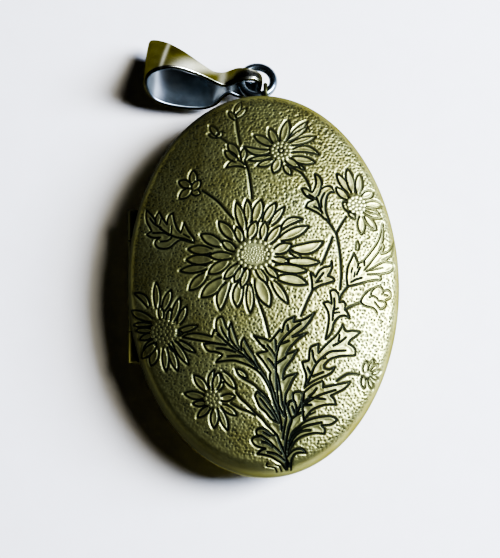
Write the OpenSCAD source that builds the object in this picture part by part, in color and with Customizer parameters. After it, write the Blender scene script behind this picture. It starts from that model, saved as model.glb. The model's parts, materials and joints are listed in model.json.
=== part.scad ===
// Oval locket pendant: two domed leaves on a side hinge, a jump ring and a folded strip bail.
// Millimetres. The closed locket lies on its domed back, with the ring end towards +Y.

/* [Body] */
// Length of the oval along Y
body_l = 45; // [44:0.25:46]
// Width of the oval along X
body_w = 31.5; // [31:0.25:32]
// Thickness of the closed locket
body_t = 10.5; // [9.5:0.25:12]
// Sheet thickness of both leaves
wall = 0.7; // [0.5:0.05:0.9]
// Height of the upright band at the edge of each leaf
rim_h = 0.8; // [0.6:0.05:1]
// Radius that rolls the band over into the dome
edge_r = 2.2; // [1.8:0.1:2.6]
// Gap between the closed leaves
seam = 0.06; // [0.04:0.01:0.1]

/* [Snap rim] */
// How far the back's inner rim stands into the cover
tongue_h = 0.7; // [0.4:0.05:0.8]
// Thickness of the inner rim
tongue_t = 0.4; // [0.3:0.05:0.5]
// Gap between the inner rim and the cover
tongue_gap = 0.15; // [0.1:0.01:0.2]

/* [Hinge] */
// Length of the hinge barrel along Y
barrel_l = 18; // [14:0.5:20]
// Diameter of the hinge barrel
barrel_d = 1.5; // [1.3:0.1:1.6]
// Diameter of the hinge pin
pin_d = 0.8; // [0.6:0.05:0.9]
// Number of knuckles, the first and last on the back
knuckles = 5; // [3:2:7]
// Gap between neighbouring knuckles
knuckle_gap = 0.12; // [0.08:0.01:0.2]
// Room round the pin in each knuckle of the cover
pin_play = 0.05; // [0.03:0.01:0.1]
// Room round the barrel in both leaves
barrel_room = 0.4; // [0.35:0.05:0.5]

/* [Ring and loop] */
// Diameter of the jump ring's wire
ring_wire = 1.0; // [0.9:0.05:1.1]
// Outer diameter of the jump ring
ring_d = 4.95; // [4.85:0.05:5.05]
// Droop of the ring's outer side
ring_droop = 12; // [10:1:14]
// Diameter of the hole in the soldered loop
loop_hole = 1.75; // [1.7:0.05:1.8]
// Wall of the soldered loop
loop_wall = 0.35; // [0.3:0.05:0.5]
// Thickness of the soldered loop along X
loop_t = 0.5; // [0.4:0.05:0.55]

/* [Bail] */
// Length of the bail from its fold to the end of its eye
bail_l = 14; // [13:0.25:15]
// Thickness of the strip
strip_t = 0.5; // [0.4:0.05:0.6]
// Width of the strip at the fold
strip_wide = 7.2; // [6:0.1:8]
// Width of the strip at the eye
strip_narrow = 1.0; // [0.9:0.05:1.1]
// Turn of the bail away from the -X direction
bail_turn = 4.8; // [2:0.2:8]
// Fall of the bail towards its fold
bail_droop = 5; // [3:0.5:7]
// Lean of the bail's width under the horizontal
bail_lean = 36; // [33:1:39]

/* [Relief] */
// Height of the petals over the ground
petal_h = 0.3; // [0.2:0.01:0.4]
// Height of the leaves over the ground
leaf_h = 0.2; // [0.15:0.01:0.3]
// Height of the stems over the ground
stem_h = 0.16; // [0.1:0.01:0.3]
// Width of the stems
stem_w = 0.4; // [0.3:0.01:0.5]
// Width of the beads in the hearts of the blooms
bead_d = 0.52; // [0.4:0.01:0.6]

/* [Hidden] */

a = body_l / 2;
b = body_w / 2;
dome_h = (body_t - seam) / 2;
part_z = body_t / 2;
barrel_r = barrel_d / 2;
hinge_x = -(b - barrel_r);
notch_r = barrel_r + barrel_room;
notch_l = barrel_l + 0.5;
bore_d = pin_d + 2 * pin_play;
strap_l = 1.7;
strap_in = 0.75;
strap_out = 0.2;
end_strap = 0.5;
ledge_h = 0.65;
ledge_drop = 0.2;
knuckle_l = barrel_l / knuckles;
oval_fn = 48;
dome_steps = 4;
roll_steps = 4;

loop_r = loop_hole / 2 + loop_wall;
loop_x = 0.75;
loop_y = a + 1.29;
wire_seat = 0.07;
loop_z = part_z - 1.85;
neck_h = 0.7;
neck_t = loop_t - 0.1;
neck_in = 0.6;
ring_mid = (ring_d - ring_wire) / 2;
ring_x = -0.25;
ring_reach = sqrt(pow(ring_mid, 2) - pow(loop_x - ring_x, 2));
ring_y = loop_y - wire_seat + ring_reach * cos(ring_droop);
ring_z = loop_z - ring_reach * sin(ring_droop);

// Outer outline of the bail's strip at its near and its far edge, from the end of the eye over the top.
// Measured along the bail and up from the middle of the ring's wire.
near_edge = [
  [-2.55, -0.3], [-2.4, 0.35], [-1.7, 0.95], [-0.7, 1.05], [0.4, 0.9], [1.2, 0.6], [1.75, 0.5],
  [2.5, 0.85], [3.95, 1.95], [5.0, 2.65], [5.8, 3.1], [6.7, 3.55], [7.7, 3.85], [8.5, 3.9], [9.3, 3.8],
  [10.3, 3.4], [10.9, 2.75], [11.2, 1.75], [11.1, 0.75], [10.75, -0.2], [10.15, -1.05], [8.8, -1.95],
  [7.0, -2.6], [5.35, -2.95], [4.1, -3.0], [3.0, -2.65], [2.1, -1.8], [1.3, -1.2], [0.6, -1.6],
  [-0.5, -2.0], [-1.7, -1.9], [-2.4, -1.15]
];
far_edge = [
  [-2.55, 0.1], [-2.4, 0.75], [-1.7, 1.2], [-0.6, 1.3], [0.5, 1.1], [1.3, 0.65], [2.3, 0.1], [3.4, 0.0],
  [4.3, 0.45], [5.2, 1.0], [6.2, 1.7], [7.25, 2.35], [8.1, 2.75], [9.0, 3.1], [9.9, 3.25], [10.7, 3.25],
  [11.3, 3.05], [11.65, 2.4], [11.65, 1.4], [11.3, 0.4], [10.6, -0.4], [9.2, -0.8], [7.6, -1.2],
  [6.1, -1.5], [4.8, -1.75], [3.6, -1.7], [2.4, -1.35], [1.5, -1.1], [0.7, -1.15], [-0.4, -1.15],
  [-1.6, -1.05], [-2.35, -0.55]
];
eye_end = 2.6;
bail_rise = 0.35;
edge_cuts = 2;

// Petals: tip, root, width, sideways bend
bloom_petals = [
  [[-5.0, 6.5], [-3.3, 4.4], 1.15, 0],
  [[-7.1, 5.05], [-4.8, 3.7], 1.15, 0],
  [[-8.6, 3.4], [-5.9, 3.05], 1.05, 0],
  [[-8.8, 2.15], [-5.9, 2.0], 1.15, 0],
  [[-9.55, 0.9], [-6.5, 1.15], 0.9, 0],
  [[-8.5, -1.4], [-6.6, 0.3], 1.15, 0],
  [[-7.15, -2.3], [-4.6, -0.4], 1.4, 0],
  [[-5.0, -3.9], [-4.0, -0.8], 1.15, -0.3],
  [[-3.05, -3.6], [-2.6, -0.8], 1.15, -0.15],
  [[-1.6, -4.3], [-1.6, -1.1], 0.85, 0],
  [[0.6, -3.65], [-0.7, -0.4], 1.5, 0],
  [[2.7, -3.3], [1.0, -0.7], 0.85, 0],
  [[4.95, -1.05], [1.7, -0.35], 1.15, 0.15],
  [[5.0, 0.45], [1.3, 0.9], 1.0, 0],
  [[6.45, 1.45], [2.7, 1.6], 0.95, 0],
  [[6.9, 3.9], [3.3, 3.0], 1.25, -0.35],
  [[5.3, 5.7], [2.0, 4.2], 1.1, 0],
  [[4.6, 6.55], [2.2, 5.5], 0.75, 0.35],
  [[2.55, 8.05], [0.9, 5.9], 0.75, 0],
  [[1.55, 8.55], [0.2, 6.2], 1.0, 0],
  [[-0.1, 8.95], [-0.9, 6.2], 1.15, 0],
  [[-1.7, 9.0], [-1.6, 6.2], 0.85, 0],
  [[-2.95, 8.7], [-2.1, 5.4], 1.0, 0]
];
inner_petals = [
  [[-3.0, 5.8], [-2.4, 4.0], 0.9, 0],
  [[-0.75, 6.35], [-1.5, 4.4], 1.05, 0],
  [[0.3, 6.3], [0.0, 4.2], 0.85, 0],
  [[2.15, 5.8], [0.5, 3.7], 1.0, 0],
  [[3.25, 3.55], [1.3, 2.7], 1.15, 0],
  [[2.9, 1.55], [1.1, 1.85], 0.8, 0],
  [[1.6, -0.35], [0.3, 1.0], 0.75, 0],
  [[0.4, -0.85], [-0.8, 0.9], 0.75, 0],
  [[-2.55, -1.4], [-1.8, 0.7], 0.85, 0],
  [[-3.3, -0.7], [-2.4, 0.9], 0.8, 0],
  [[-4.5, -0.3], [-2.7, 1.3], 0.95, 0],
  [[-6.3, 0.4], [-4.0, 1.7], 1.2, 0],
  [[-6.2, 2.5], [-3.6, 2.3], 0.95, 0],
  [[-4.65, 4.15], [-3.2, 3.0], 0.9, 0]
];
top_petals = [
  [[1.05, 17.8], [1.9, 15.7], 0.9, 0],
  [[3.25, 18.85], [2.5, 15.9], 1.0, 0],
  [[5.5, 18.6], [3.4, 16.6], 0.7, 0],
  [[6.4, 16.75], [3.5, 15.8], 0.8, 0],
  [[6.75, 14.5], [3.6, 14.9], 0.8, 0.5],
  [[6.25, 13.5], [3.6, 14.0], 0.95, 0],
  [[4.4, 12.9], [2.8, 14.0], 0.8, 0],
  [[3.4, 11.95], [2.7, 13.1], 0.7, 0],
  [[1.4, 12.2], [2.1, 13.9], 1.05, 0],
  [[-0.45, 13.1], [1.4, 13.7], 0.75, 0],
  [[-1.5, 13.85], [1.1, 14.2], 0.6, 0],
  [[-2.0, 15.6], [1.1, 14.9], 0.8, 0.4],
  [[-0.8, 17.0], [1.2, 15.7], 0.9, 0]
];
right_petals = [
  [[8.75, 12.2], [10.2, 9.9], 0.85, 0],
  [[10.0, 12.85], [10.6, 9.9], 0.9, 0],
  [[11.4, 12.25], [11.2, 9.8], 0.85, 0],
  [[13.0, 10.1], [11.6, 9.3], 0.9, 0],
  [[14.05, 8.55], [11.9, 8.5], 0.8, 0],
  [[13.8, 6.95], [11.7, 7.7], 0.7, 0],
  [[13.1, 5.5], [11.9, 7.1], 0.7, 0],
  [[11.4, 4.9], [11.4, 7.0], 0.85, 0],
  [[10.8, 6.75], [10.0, 7.4], 0.5, 0],
  [[9.4, 8.8], [10.0, 7.6], 0.6, 0],
  [[8.6, 10.45], [9.9, 9.1], 0.85, 0]
];
left_petals = [
  [[-12.3, -0.25], [-12.2, -3.2], 0.75, 0],
  [[-10.6, -1.25], [-11.5, -3.5], 0.85, 0],
  [[-14.9, -1.3], [-13.2, -3.0], 0.7, -0.3],
  [[-9.6, -2.2], [-10.5, -4.9], 0.8, 0],
  [[-8.85, -3.25], [-9.8, -5.2], 0.8, 0],
  [[-7.6, -5.55], [-9.9, -6.1], 0.65, 0],
  [[-15.3, -3.25], [-12.9, -4.6], 0.9, 0],
  [[-14.75, -5.6], [-12.7, -5.8], 0.6, 0],
  [[-14.3, -6.7], [-12.6, -6.2], 0.7, 0],
  [[-14.1, -8.8], [-12.5, -7.4], 1.0, 0],
  [[-13.0, -9.8], [-12.4, -7.9], 1.0, 0],
  [[-11.3, -10.5], [-11.4, -7.9], 0.75, 0],
  [[-9.95, -10.55], [-10.9, -7.8], 0.8, 0],
  [[-8.7, -9.9], [-10.4, -7.2], 0.75, 0],
  [[-7.9, -8.55], [-9.8, -7.2], 0.6, 0]
];
low_petals = [
  [[-5.8, -10.6], [-6.2, -12.6], 0.6, 0.2],
  [[-5.3, -10.9], [-5.8, -12.8], 0.9, 0],
  [[-8.1, -11.1], [-6.7, -12.8], 0.9, 0],
  [[-9.25, -13.1], [-7.0, -13.6], 0.85, 0],
  [[-8.3, -14.3], [-6.8, -14.3], 0.65, 0],
  [[-7.8, -15.85], [-6.4, -14.7], 0.75, 0],
  [[-5.95, -17.1], [-5.8, -15.0], 0.9, 0],
  [[-4.4, -17.4], [-5.3, -14.9], 0.75, 0],
  [[-3.35, -15.75], [-5.0, -14.6], 0.75, 0],
  [[-3.5, -13.6], [-5.2, -13.9], 0.8, 0]
];
small_petals = [
  [[11.5, -9.9], [11.3, -11.2], 0.6, 0],
  [[12.9, -10.2], [12.0, -11.0], 0.45, 0],
  [[13.2, -10.85], [12.1, -11.3], 0.5, 0],
  [[12.85, -11.9], [12.0, -11.4], 0.5, 0],
  [[12.2, -13.0], [11.7, -11.9], 0.5, 0],
  [[11.1, -12.9], [11.1, -11.6], 0.55, 0]
];
bud_petals = [
  [[-7.9, 12.9], [-7.9, 11.1], 0.9, 0],
  [[-9.6, 11.65], [-8.2, 10.9], 0.95, 0],
  [[-9.55, 9.5], [-8.2, 10.6], 1.0, 0],
  [[-7.1, 11.6], [-8.0, 10.5], 0.9, 0],
  [[-3.8, 16.1], [-2.6, 14.4], 1.0, 0],
  [[-1.9, 15.4], [-2.1, 13.9], 0.7, 0],
  [[-4.2, 15.1], [-2.8, 13.8], 0.9, 0],
  [[-4.1, 13.0], [-1.9, 13.1], 0.8, -0.5],
  [[-5.9, 18.4], [-5.1, 17.2], 0.7, 0],
  [[-4.5, 17.5], [-5.1, 17.0], 0.6, 0],
  [[-3.7, 20.1], [-2.9, 19.2], 0.6, 0],
  [[-1.6, 20.4], [-2.8, 19.3], 0.7, 0],
  [[-2.1, -11.6], [-3.2, -10.7], 0.6, 0],
  [[-3.4, -12.8], [-4.9, -10.9], 0.8, 0],
  [[13.7, -1.7], [12.0, -2.1], 1.2, 0],
  [[14.6, -2.3], [13.6, -2.3], 1.0, 0],
  [[13.9, -3.6], [12.0, -3.0], 1.2, 0]
];
// Hearts: centre, half width, half height
hearts = [
  [[-0.95, 2.45], 2.0, 1.55],
  [[2.35, 14.95], 1.05, 1.05],
  [[10.95, 8.4], 1.0, 1.0],
  [[-11.5, -6.0], 1.3, 1.3],
  [[-6.0, -13.8], 0.85, 0.85]
];
// Leaves as outlines
leaf_left = [
  [-7.9, 4.1], [-9.0, 6.5], [-9.5, 5.6], [-10.3, 7.8], [-10.9, 6.2], [-11.9, 8.1], [-12.0, 6.7],
  [-13.3, 8.5], [-13.0, 6.2], [-13.4, 5.4], [-12.1, 5.2], [-12.4, 4.3], [-11.1, 3.7], [-9.4, 4.6]
];
leaf_top = [
  [5.9, 9.0], [4.5, 10.3], [6.1, 9.9], [6.0, 12.1], [6.7, 10.0], [7.6, 10.5], [8.4, 9.9],
  [7.5, 8.9], [7.4, 7.25], [8.1, 5.5], [7.3, 6.8], [5.1, 8.05], [6.5, 8.1]
];
leaf_small = [
  [5.9, 0.0], [7.0, 0.9], [7.8, 1.5], [7.4, 0.0], [8.0, -0.6], [5.6, -1.75], [5.35, 0.0]
];
leaf_feather = [
  [9.4, -1.0], [9.8, 1.6], [10.4, 2.6], [10.8, 1.4], [11.6, 1.7], [13.0, 3.9], [13.9, 6.2],
  [14.0, 3.6], [12.9, 2.0], [14.1, 2.7], [15.2, 4.2], [14.6, 2.4], [13.6, 1.6], [15.0, 1.4],
  [14.3, 0.6], [12.6, 0.2], [13.5, -0.3], [11.6, -0.75], [9.6, -1.4]
];
leaf_middle = [
  [8.5, -2.8], [8.4, -2.2], [7.55, -1.75], [7.7, -3.2], [6.75, -3.35], [7.3, -4.75], [6.9, -7.3],
  [7.6, -6.6], [8.0, -5.5], [9.75, -5.0], [9.1, -3.15]
];
leaf_right = [
  [8.85, -5.75], [8.25, -6.75], [6.9, -8.1], [6.05, -7.9], [5.05, -8.75], [5.0, -9.6], [4.2, -9.9],
  [4.55, -11.25], [4.4, -12.75], [5.0, -12.1], [7.4, -11.1], [7.95, -10.5], [6.75, -10.25],
  [8.0, -9.4], [10.2, -9.2], [9.4, -8.1], [10.8, -6.55]
];
leaf_lower = [
  [4.4, -13.1], [5.25, -12.5], [6.25, -12.1], [6.5, -12.8], [9.5, -12.25], [8.9, -13.0], [7.0, -13.9],
  [7.8, -14.7], [5.1, -15.5], [4.1, -16.8]
];
leaf_base = [
  [2.9, -17.6], [4.1, -16.7], [5.4, -16.3], [7.9, -16.4], [6.2, -17.1], [6.5, -17.9], [4.4, -18.25],
  [3.3, -19.2], [4.3, -20.1], [3.0, -20.6], [2.9, -22.0], [2.3, -20.5]
];
leaf_centre = [
  [0.5, -7.2], [1.75, -6.1], [2.1, -5.5], [3.4, -4.8], [3.5, -5.3], [5.75, -4.3], [4.25, -6.4],
  [4.8, -6.7], [2.5, -9.0], [3.65, -8.6], [2.05, -11.4], [3.5, -11.25], [2.1, -14.0], [2.0, -16.0],
  [1.05, -13.9], [0.4, -11.0], [0.9, -10.8], [-0.8, -8.95], [0.25, -8.8], [-1.05, -7.0]
];
leaf_wide = [
  [-10.2, -6.5], [-7.45, -6.4], [-5.6, -6.9], [-5.6, -6.1], [-4.8, -6.5], [-5.0, -4.6], [-4.1, -6.1],
  [-3.85, -5.35], [-3.0, -7.7], [-2.45, -7.2], [-1.4, -9.0], [-0.4, -11.4], [0.6, -13.5],
  [-2.1, -9.9], [-5.6, -9.75], [-4.6, -8.9], [-6.95, -7.9], [-5.0, -7.5], [-7.5, -7.0]
];
leaf_bottom = [
  [-1.2, -17.5], [0.3, -18.4], [1.6, -19.5], [2.2, -22.2], [0.0, -20.4], [-1.15, -20.0], [-0.3, -19.3],
  [-1.8, -18.5], [-0.8, -18.2]
];
leaf_oblong = [[-1.1, -13.1], [-0.2, -14.2], [0.6, -16.0], [-1.1, -14.25]];
leaves = [
  leaf_left, leaf_top, leaf_small, leaf_feather, leaf_middle, leaf_right, leaf_lower,
  leaf_base, leaf_centre, leaf_wide, leaf_bottom, leaf_oblong
];
// Stems from end to end
stems = [
  [[-6.8, 10.3], [-5.9, 9.6], [-5.0, 8.8], [-3.9, 7.4], [-3.3, 6.9]],
  [[-2.95, 19.1], [-2.7, 17.5], [-2.45, 15.75]],
  [[-1.8, 12.9], [-1.55, 12.5], [-1.3, 11.0], [-1.15, 9.2]],
  [[-3.9, 16.2], [-4.8, 16.9]],
  [[3.4, 12.9], [4.6, 11.9], [5.25, 11.0], [5.7, 10.2]],
  [[8.0, 5.9], [8.4, 4.9], [8.7, 3.9], [8.9, 1.75], [8.85, -0.5], [8.55, -1.6]],
  [[9.7, 7.2], [9.1, 6.2], [8.5, 5.2]],
  [[8.2, 4.4], [7.5, 3.3], [6.9, 2.1], [6.6, 1.6]],
  [[5.5, -1.9], [4.9, -3.0], [4.2, -4.5]],
  [[9.75, -1.2], [8.7, -2.5]],
  [[9.25, -3.9], [10.0, -3.5], [10.8, -3.2], [12.1, -2.5]],
  [[-0.9, -2.2], [-0.5, -3.4], [0.0, -5.0], [0.6, -7.6]],
  [[8.25, -12.0], [9.0, -11.5], [9.75, -11.25], [10.9, -11.4]],
  [[-3.4, -13.2], [-2.75, -14.0], [-1.9, -15.1], [-1.1, -16.1]],
  [[-4.0, -14.4], [-2.75, -14.9], [-1.5, -15.75], [-0.25, -17.0], [1.0, -18.0]],
  [[2.0, -15.5], [2.1, -18.0], [2.3, -21.5]],
  [[-3.3, -11.4], [-1.9, -11.9], [-0.9, -12.9], [0.5, -14.3]]
];

// Colours
antique_brass = [0.50, 0.45, 0.25];
dark_steel = [0.24, 0.26, 0.27];
worn_brass = [0.42, 0.38, 0.22];

// Big circle of the dome that runs smoothly into the edge roll.
// l: half length, h: height of the dome, r: edge roll, band: upright band
function dome_r(l, h, r, band) =
  ((l - r) * (l - r) + (h - band) * (h - band) - r * r) / (2 * (h - band - r));
function dome_angle(l, h, r, band) =
  atan2(l - r, dome_r(l, h, r, band) - h + band);

// Half section of a filled dome: the big arc, the edge roll, the upright band, the axis
function dome_points(l, h, r, band, foot = 0) =
  let (
    big = dome_r(l, h, r, band),
    turn = dome_angle(l, h, r, band)
  )
  concat(
    [for (i = [0 : dome_steps]) let (t = turn * i / dome_steps)
      [big * sin(t), h - big + big * cos(t)]],
    [for (i = [1 : roll_steps]) let (t = turn + (90 - turn) * i / roll_steps)
      [l - r + r * sin(t), band + r * cos(t)]],
    [[l, -foot], [0, -foot]]
  );

// Filled dome over the oval; gap is how far it lies inside the outer oval
module oval_dome(gap = 0, foot = 0) {
  scale([(b - gap) / (a - gap), 1, 1])
    rotate_extrude($fn = oval_fn)
      polygon(dome_points(a - gap, dome_h - gap, edge_r - gap * 0.7, rim_h, foot));
}

// Flat oval, gap inside the outer oval
module oval_plate(gap, h) {
  scale([(b - gap) / (a - gap), 1, 1]) cylinder(h = h, r = a - gap, $fn = oval_fn);
}

// Round bar along the hinge axis
module hinge_bar(d, from, to) {
  translate([hinge_x, from, part_z])
    rotate([-90, 0, 0])
      cylinder(h = to - from, d = d, $fn = 32);
}

function knuckle_from(i) = -barrel_l / 2 + i * knuckle_l + (i > 0 ? knuckle_gap / 2 : 0);
function knuckle_to(i) = -barrel_l / 2 + (i + 1) * knuckle_l - (i < knuckles - 1 ? knuckle_gap / 2 : 0);

module barrel(first) {
  for (i = [first : 2 : knuckles - 1]) hinge_bar(barrel_d, knuckle_from(i), knuckle_to(i));
}

// Straps that tie the knuckles to their leaf, above the parting plane for side 1 and below it for side -1
module straps(first, side) {
  for (i = [first : 2 : knuckles - 1])
    translate([hinge_x - strap_out, knuckle_from(i), part_z + (side > 0 ? seam / 2 : -strap_l)])
      cube([strap_out + strap_in + (i == 0 || i == knuckles - 1 ? end_strap : 0),
            knuckle_to(i) - knuckle_from(i), strap_l - seam / 2]);
}

module hinge_notch() hinge_bar(notch_r * 2, -notch_l / 2, notch_l / 2);

module snap_rim() {
  difference() {
    union() {
      translate([0, 0, part_z - ledge_h]) oval_plate(wall / 2, ledge_h - ledge_drop);
      translate([0, 0, part_z - ledge_h]) oval_plate(wall + tongue_gap, ledge_h + tongue_h);
    }
    translate([0, 0, part_z - 1]) oval_plate(wall + tongue_gap + tongue_t, 3);
    translate([-b - 1, -notch_l / 2 - 1, part_z - 1])
      cube([b / 2, notch_l + 2, 3]);
  }
}

module case_back() color(antique_brass) {
  difference() {
    union() {
      resize([0, body_l, 0]) {
        difference() {
          translate([0, 0, part_z - seam / 2]) mirror([0, 0, 1]) oval_dome();
          translate([0, 0, part_z - seam / 2]) mirror([0, 0, 1]) oval_dome(wall, 1);
          hinge_notch();
        }
        snap_rim();
        straps(0, -1);
      }
      barrel(0);
      translate([loop_x - loop_t / 2, loop_y, loop_z])
        rotate([0, 90, 0]) cylinder(h = loop_t, r = loop_r, $fn = 32);
      translate([loop_x - neck_t / 2, a - neck_in, loop_z - neck_h / 2])
        cube([neck_t, loop_y - a + neck_in, neck_h]);
    }
    hinge_bar(bore_d, -barrel_l, barrel_l);
    translate([loop_x - loop_t, loop_y, loop_z])
      rotate([0, 90, 0]) cylinder(h = loop_t * 2, d = loop_hole, $fn = 32);
  }
}

// Everything under the cover's ground, raised by up
module under_cover(up) {
  translate([0, 0, part_z + seam / 2 + up]) oval_dome();
}

// Outline of a petal with a rounded tip
function bent(p, s, side) =
  let (
    d = p[0] - p[1],
    n = [-d[1], d[0]] / norm(d)
  )
  p[1] + d * s + n * (side * p[2] + p[3] * 4 * s * (1 - s));
function petal_outline(p) = [
  bent(p, 0, -0.25), bent(p, 0.6, -0.48), bent(p, 0.88, -0.36), bent(p, 1, 0),
  bent(p, 0.88, 0.36), bent(p, 0.6, 0.48), bent(p, 0, 0.25)
];

// Outline of a stem of even width
function along(s, i) =
  let (d = s[min(i + 1, len(s) - 1)] - s[max(i - 1, 0)]) [-d[1], d[0]] / norm(d);
function stem_outline(s) = concat(
  [for (i = [0 : len(s) - 1]) s[i] + along(s, i) * stem_w / 2],
  [for (i = [len(s) - 1 : -1 : 0]) s[i] - along(s, i) * stem_w / 2]
);

// Outline of a bead in a ring of beads, facet by facet
module beads(heart) {
  count = round(PI * (heart[1] + heart[2]) / bead_d);
  for (i = [0 : count - 1])
    translate(heart[0] + [heart[1] * cos(360 * i / count), heart[2] * sin(360 * i / count)])
      circle(d = bead_d * 0.9, $fn = 5);
  translate(heart[0])
    scale([heart[1] - bead_d * 0.8, heart[2] - bead_d * 0.8]) circle(1, $fn = 12);
}

// A layer of the relief that follows the ground at a height over it
module raised(up) {
  intersection() {
    translate([0, 0, part_z + seam / 2]) linear_extrude(body_t) children();
    under_cover(up);
  }
}

module petals(list, first) {
  for (i = [first : 2 : len(list) - 1]) polygon(petal_outline(list[i]));
}

module all_petals(first) {
  petals(bloom_petals, first);
  petals(top_petals, first);
  petals(right_petals, first);
  petals(left_petals, first);
  petals(low_petals, first);
  petals(small_petals, first);
  petals(bud_petals, first);
}

module relief() {
  raised(stem_h) for (s = stems) polygon(stem_outline(s));
  raised(leaf_h) for (l = leaves) polygon(l);
  raised(petal_h * 0.8) all_petals(0);
  raised(petal_h) all_petals(1);
  raised(petal_h * 1.15) {
    petals(inner_petals, 0);
    petals(inner_petals, 1);
  }
  raised(petal_h * 1.35) for (h = hearts) beads(h);
}

module cover() color(antique_brass) {
  difference() {
    union() {
      resize([0, body_l, 0])
        difference() {
          union() {
            under_cover(0);
            relief();
          }
          translate([0, 0, part_z + seam / 2]) oval_dome(wall, 1);
          difference() {
            hinge_notch();
            straps(1, 1);
          }
        }
      barrel(1);
    }
    hinge_bar(bore_d, -barrel_l, barrel_l);
  }
}

module hinge_pin() color(worn_brass) hinge_bar(pin_d, -barrel_l / 2, barrel_l / 2);

module jump_ring() color(dark_steel)
  translate([ring_x, ring_y, ring_z])
    rotate([-ring_droop, 0, 0])
      rotate_extrude($fn = 48)
        translate([ring_mid, 0]) circle(d = ring_wire, $fn = 24);

// Point at t between station i and the next of a closed smooth outline
function smooth(list, i, t) =
  let (
    n = len(list),
    p0 = list[(i + n - 1) % n],
    p1 = list[i % n],
    p2 = list[(i + 1) % n],
    p3 = list[(i + 2) % n]
  )
  0.5 * (2 * p1 + (p2 - p0) * t + (2 * p0 - 5 * p1 + 4 * p2 - p3) * t * t
    + (3 * p1 - p0 - 3 * p2 + p3) * t * t * t);
function smoothed(list) = [
  for (i = [0 : len(list) - 1]) for (k = [0 : edge_cuts - 1]) smooth(list, i, k / edge_cuts)
];

// Outline set in by the strip's thickness
function inset(list) = [
  for (i = [0 : len(list) - 1])
    let (d = list[(i + 1) % len(list)] - list[(i + len(list) - 1) % len(list)])
    list[i] + [d[1], -d[0]] / norm(d) * strip_t
];
function half_width(l) = (strip_narrow + (strip_wide - strip_narrow) * (l + eye_end) / bail_l) / 2;
function edge_points(list, ref, side) = [
  for (i = [0 : len(list) - 1]) [list[i][0], list[i][1], side * half_width(ref[i][0])]
];
function strip_points(near, far) = concat(
  edge_points(near, near, -1), edge_points(far, far, 1),
  edge_points(inset(far), far, 1), edge_points(inset(near), near, -1)
);
function strip_faces(n) = [
  for (i = [0 : n - 1]) for (k = [0 : 3]) for (half = [0, 1])
    let (
      j = (i + 1) % n,
      p = k * n,
      q = ((k + 1) % 4) * n
    )
    half == 0 ? [p + i, q + i, q + j] : [p + i, q + j, p + j]
];

along_bail = [-cos(bail_turn) * cos(bail_droop), sin(bail_turn) * cos(bail_droop), -sin(bail_droop)];
lean_dir = [0, cos(bail_lean), -sin(bail_lean)];
across = lean_dir - along_bail * (lean_dir * along_bail);
across_bail = across / norm(across);
up_bail = cross(across_bail, along_bail);
bail_at = [ring_x - ring_mid, ring_y, ring_z + bail_rise];

module bail() color(worn_brass)
  multmatrix([
    [along_bail[0], up_bail[0], across_bail[0], bail_at[0]],
    [along_bail[1], up_bail[1], across_bail[1], bail_at[1]],
    [along_bail[2], up_bail[2], across_bail[2], bail_at[2]]
  ])
    polyhedron(
      strip_points(smoothed(near_edge), smoothed(far_edge)),
      strip_faces(len(near_edge) * edge_cuts)
    );

case_back();
cover();
hinge_pin();
jump_ring();
bail();
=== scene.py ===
import json
import math

import bpy
import numpy as np
from mathutils import Matrix, Vector, kdtree
from mathutils.geometry import delaunay_2d_cdt


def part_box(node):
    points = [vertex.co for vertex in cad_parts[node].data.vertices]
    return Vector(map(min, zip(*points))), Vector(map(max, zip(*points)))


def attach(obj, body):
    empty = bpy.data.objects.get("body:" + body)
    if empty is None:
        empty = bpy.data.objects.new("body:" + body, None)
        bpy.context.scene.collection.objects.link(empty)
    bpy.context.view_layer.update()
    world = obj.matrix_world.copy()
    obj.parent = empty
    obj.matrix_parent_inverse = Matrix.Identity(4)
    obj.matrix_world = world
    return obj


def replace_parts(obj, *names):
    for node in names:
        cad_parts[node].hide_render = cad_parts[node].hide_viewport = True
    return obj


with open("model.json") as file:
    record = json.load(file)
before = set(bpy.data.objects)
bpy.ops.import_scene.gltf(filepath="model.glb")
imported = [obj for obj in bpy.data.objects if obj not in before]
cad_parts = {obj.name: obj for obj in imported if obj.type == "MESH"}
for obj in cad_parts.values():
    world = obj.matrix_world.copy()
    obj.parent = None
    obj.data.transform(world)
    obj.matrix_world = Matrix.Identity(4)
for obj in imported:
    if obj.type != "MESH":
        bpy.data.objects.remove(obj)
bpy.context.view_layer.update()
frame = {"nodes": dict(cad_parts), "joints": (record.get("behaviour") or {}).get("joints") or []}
print("frame loaded")

mm = 0.001
hinge = frame["joints"][0]
partZ = hinge["pos_m"][2] / mm
hingeX = hinge["pos_m"][0] / mm
coverHigh = np.array(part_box("cover")[1]) / mm
ringLow, ringHigh = [np.array(corner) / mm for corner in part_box("jump_ring")]

# the oval leaf, in millimetres like every other size here
leaf = {
    "halfWidth": coverHigh[0],
    "halfLength": coverHigh[1],
    "seam": 0.06,
    "wall": 0.7,
    "band": 0.8,            # upright part of the edge
    "roll": 2.2,            # radius that rolls the band into the dome
    "innerRoll": 1.71,
    "segments": 720,
}
leaf["height"] = partZ - leaf["seam"] / 2


# small helpers

def smoothStep(low, high, value):
    t = np.clip((value - low) / (high - low), 0, 1)
    return t * t * (3 - 2 * t)


def unit(vectors):
    return vectors / np.maximum(np.linalg.norm(vectors, axis=-1, keepdims=True), 1e-9)


def fullTurn(count):
    return np.linspace(0, 2 * math.pi, count, endpoint=False)


def curvePoint(a, b, c, d, t):
    # on the smooth curve through b and c, with a before and d after them
    return 0.5 * (2 * b + (c - a) * t + (2 * a - 5 * b + 4 * c - d) * t ** 2
                  + (3 * b - a - 3 * c + d) * t ** 3)


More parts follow.
